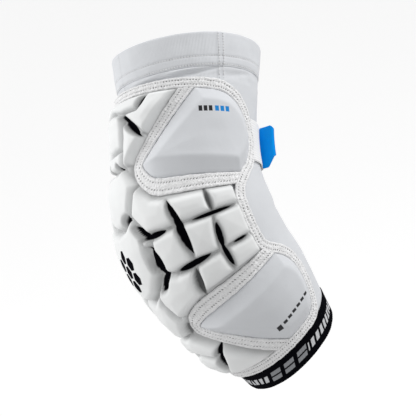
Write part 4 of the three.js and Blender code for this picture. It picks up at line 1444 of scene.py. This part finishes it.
def band_piece(name, degrees, out, thickness, top, foot, ribbed):
    """A closed band round the arm; out, top and foot are given at each of its degrees."""
    across = np.concatenate([[0, 0.01, 0.03], np.linspace(0.06, 0.94, 41), [0.97, 0.99, 1]])
    lip = np.clip(1 - np.minimum(across, 1 - across) / 0.03, 0, 1)
    edge = thickness / 2 * round_lip(lip)
    along = top[:, None] + (foot - top)[:, None] * across[None]
    ribs = 0.1 * np.cos(2 * np.pi * across * 17) * (lip == 0) if ribbed else 0 * across
    upper = out[:, None] + (thickness - edge + ribs)[None]
    lower = out[:, None] + edge[None]
    points = np.concatenate([
        surface(along, degrees[:, None], upper),
        surface(along, degrees[:, None], lower)[:, ::-1]], 1)
    count = points.shape[1]
    chart = np.zeros(points.shape)
    chart[..., 0] = np.concatenate([across, across[::-1]])[None] * STRAP_WIDTH
    chart[..., 1] = degrees[:, None] * PER_DEGREE
    quads = np.concatenate([
        ring_quads(len(degrees), count, False), end_caps(len(degrees), len(across), count)])
    return make_mesh(name, points.reshape(-1, 3), quads, {"chart": chart.reshape(-1, 3)})


def tab_piece(top, foot):
    """The pull tab, peeled off the strap's end, with a round upper and a slanted lower corner."""
    edge = TAB_LIP * np.array([0.75, 0.5, 0.25, 0.1, 0.0])
    run = np.concatenate([np.linspace(0, TAB_LENGTH - TAB_LIP, 60), TAB_LENGTH - edge])
    into = np.clip(run - (TAB_LENGTH - TAB_CORNER), 0, TAB_CORNER)
    rounding = TAB_CORNER - np.sqrt(np.maximum(TAB_CORNER ** 2 - into ** 2, 0))
    slant = np.clip(run - (TAB_LENGTH - TAB_CHAMFER), 0, None)
    taper = TAB_THICKNESS / 2 * round_lip(np.clip((run - (TAB_LENGTH - TAB_LIP)) / TAB_LIP, 0, 1))
    return band_piece(
        "pull_tab", STRAP_END - TAB_LAP - run * math.cos(TAB_PEEL) / PER_DEGREE,
        STRAP_OUT + run * math.sin(TAB_PEEL) + taper, TAB_THICKNESS, top + rounding, foot - slant, False)


class ARMPAD_OT_strap(bpy.types.Operator):
    """Closes the strap round the upper arm and adds its pull tab"""
    bl_idname = "armpad.strap"
    bl_label = "Strap and Tab"

    def execute(self, context):
        look = material("white_elastic_weave", elastic_finish)
        top, foot = STRAP_MIDDLE - STRAP_WIDTH / 2, STRAP_MIDDLE + STRAP_WIDTH / 2
        landing = np.linspace(BINDING_REACH + PAD_TURN - STRAP_TUCK, LANDING_END, 90)
        strap = np.linspace(STRAP_END, 360 + STRAP_TUCK - BINDING_REACH + PAD_TURN, 100)
        settled, lifted = (-(LANDING_END + turn) for turn in STRAP_CLIMB[::-1])
        climb = smoothstep(-strap, settled, lifted)
        bands = (
            ("loop_landing", landing, 0 * landing, "strap_landing"),
            ("elastic_strap", strap, (STRAP_OUT - STRAP_GAP) * climb, "closing_strap"),
        )
        for name, degrees, out, node in bands:
            edges = top + 0 * degrees, foot + 0 * degrees
            piece = band_piece(name, degrees, STRAP_GAP + out, STRAP_THICKNESS, *edges, True)
            finish_piece(piece, look, "white_tape", node)
        finish_piece(tab_piece(top, foot), material("blue_moulding", tab_finish), "blue_tab", "strap_tab")
        return {"FINISHED"}


def floor_stage():
    """A pale floor that sweeps up into a backdrop on every side."""
    look = bpy.context.scene.arm_pad_colours
    f = Finish("pale_stage", 0.9, 0.2)
    f.shader.inputs["Emission Color"].default_value = rgba(look.stage)
    f.shader.inputs["Emission Strength"].default_value = STAGE_GLOW
    sheet = f.done(f.mix(f.noise(2.0), rgba(look.stage, 0.995), rgba(look.stage)))
    span = np.linspace(-STAGE_REACH, STAGE_REACH, 90)
    x, y = np.meshgrid(span, span, indexing="ij")
    rise = STAGE_RISE * np.clip((np.hypot(x, y) - STAGE_FLAT) / (STAGE_REACH - STAGE_FLAT), 0, 1.5) ** 2
    points = np.stack([x, y, FLOOR_HEIGHT + rise], -1)
    stage = make_mesh("stage_sweep", points.reshape(-1, 3), grid_quads(x.shape).reshape(-1, 4), {})
    stage.data.materials.append(sheet)
    stage.visible_shadow = False
    stage.visible_diffuse = False


def area_light(name, place, size, power):
    """A soft square light that faces the origin."""
    data = bpy.data.lights.new(name, "AREA")
    data.shape = "SQUARE"
    data.size = size
    data.energy = power
    light = bpy.data.objects.new(name, data)
    light.location = place
    light.rotation_euler = (-Vector(place)).to_track_quat("-Z", "Y").to_euler()
    bpy.context.scene.collection.objects.link(light)


def soft_lights():
    """A soft key from the upper right, a rim light behind the elbow and a white surround."""
    world = bpy.data.worlds.new("studio")
    world.use_nodes = True
    world.node_tree.nodes["Background"].inputs["Color"].default_value = (1, 1, 1, 1)
    world.node_tree.nodes["Background"].inputs["Strength"].default_value = SURROUND
    bpy.context.scene.world = world
    for row in LIGHTS:
        area_light(*row)
    bpy.context.scene.view_settings.view_transform = "Standard"


def photo_camera():
    """The camera at the photograph's angle, aimed at the origin and shifted to its framing."""
    ahead = Vector((
        math.sin(CAMERA_TURN) * math.cos(CAMERA_RISE),
        math.cos(CAMERA_TURN) * math.cos(CAMERA_RISE),
        -math.sin(CAMERA_RISE)))
    level = ahead.cross(Vector((0, 0, 1))).normalized()
    upright = level.cross(ahead)
    right = level * math.cos(CAMERA_ROLL) + upright * math.sin(CAMERA_ROLL)
    up = upright * math.cos(CAMERA_ROLL) - level * math.sin(CAMERA_ROLL)
    data = bpy.data.cameras.new("camera")
    data.sensor_width = 36.0
    data.lens = data.sensor_width * FOCAL_PIXELS / FRAME_PIXELS
    data.shift_x = (FRAME_PIXELS / 2 - ORIGIN_PIXEL[0]) / FRAME_PIXELS
    data.shift_y = (ORIGIN_PIXEL[1] - FRAME_PIXELS / 2) / FRAME_PIXELS
    data.clip_start = 0.05
    camera = bpy.data.objects.new("camera", data)
    turned = Matrix((right, up, -ahead)).transposed()
    camera.matrix_world = Matrix.Translation(-ahead * CAMERA_DISTANCE) @ turned.to_4x4()
    bpy.context.scene.collection.objects.link(camera)
    bpy.context.scene.camera = camera


OPERATORS = (
    ARMPAD_OT_stage,
    ARMPAD_OT_sleeve,
    ARMPAD_OT_hem,
    ARMPAD_OT_cuff,
    ARMPAD_OT_elbow_pad,
    ARMPAD_OT_side_pads,
    ARMPAD_OT_tapes,
    ARMPAD_OT_stitches,
    ARMPAD_OT_strap,
)


class ARMPAD_PT_panel(bpy.types.Panel):
    """Lists the pieces of the arm pad"""
    bl_label = "Arm Pad"
    bl_space_type = "VIEW_3D"
    bl_region_type = "UI"
    bl_category = "Arm Pad"

    def draw(self, context):
        for operator in OPERATORS:
            self.layout.operator(operator.bl_idname)


SETTINGS = {
    "arm_pad_moulding": ArmPadMoulding,
    "arm_pad_sewing": ArmPadSewing,
    "arm_pad_colours": ArmPadColours,
}


def register():
    """Registers the settings, the operators and the panel."""
    for name, group in SETTINGS.items():
        bpy.utils.register_class(group)
        setattr(bpy.types.Scene, name, PointerProperty(type=group))
    for item in (*OPERATORS, ARMPAD_PT_panel):
        bpy.utils.register_class(item)


def unregister():
    """Takes the panel, the operators and the settings away."""
    for item in reversed((*OPERATORS, ARMPAD_PT_panel)):
        bpy.utils.unregister_class(item)
    for name, group in SETTINGS.items():
        delattr(bpy.types.Scene, name)
        bpy.utils.unregister_class(group)


def main():
    """Builds the whole arm pad."""
    register()
    for operator in OPERATORS:
        group, name = operator.bl_idname.split(".")
        getattr(getattr(bpy.ops, group), name)()


if __name__ == "__main__":
    main()
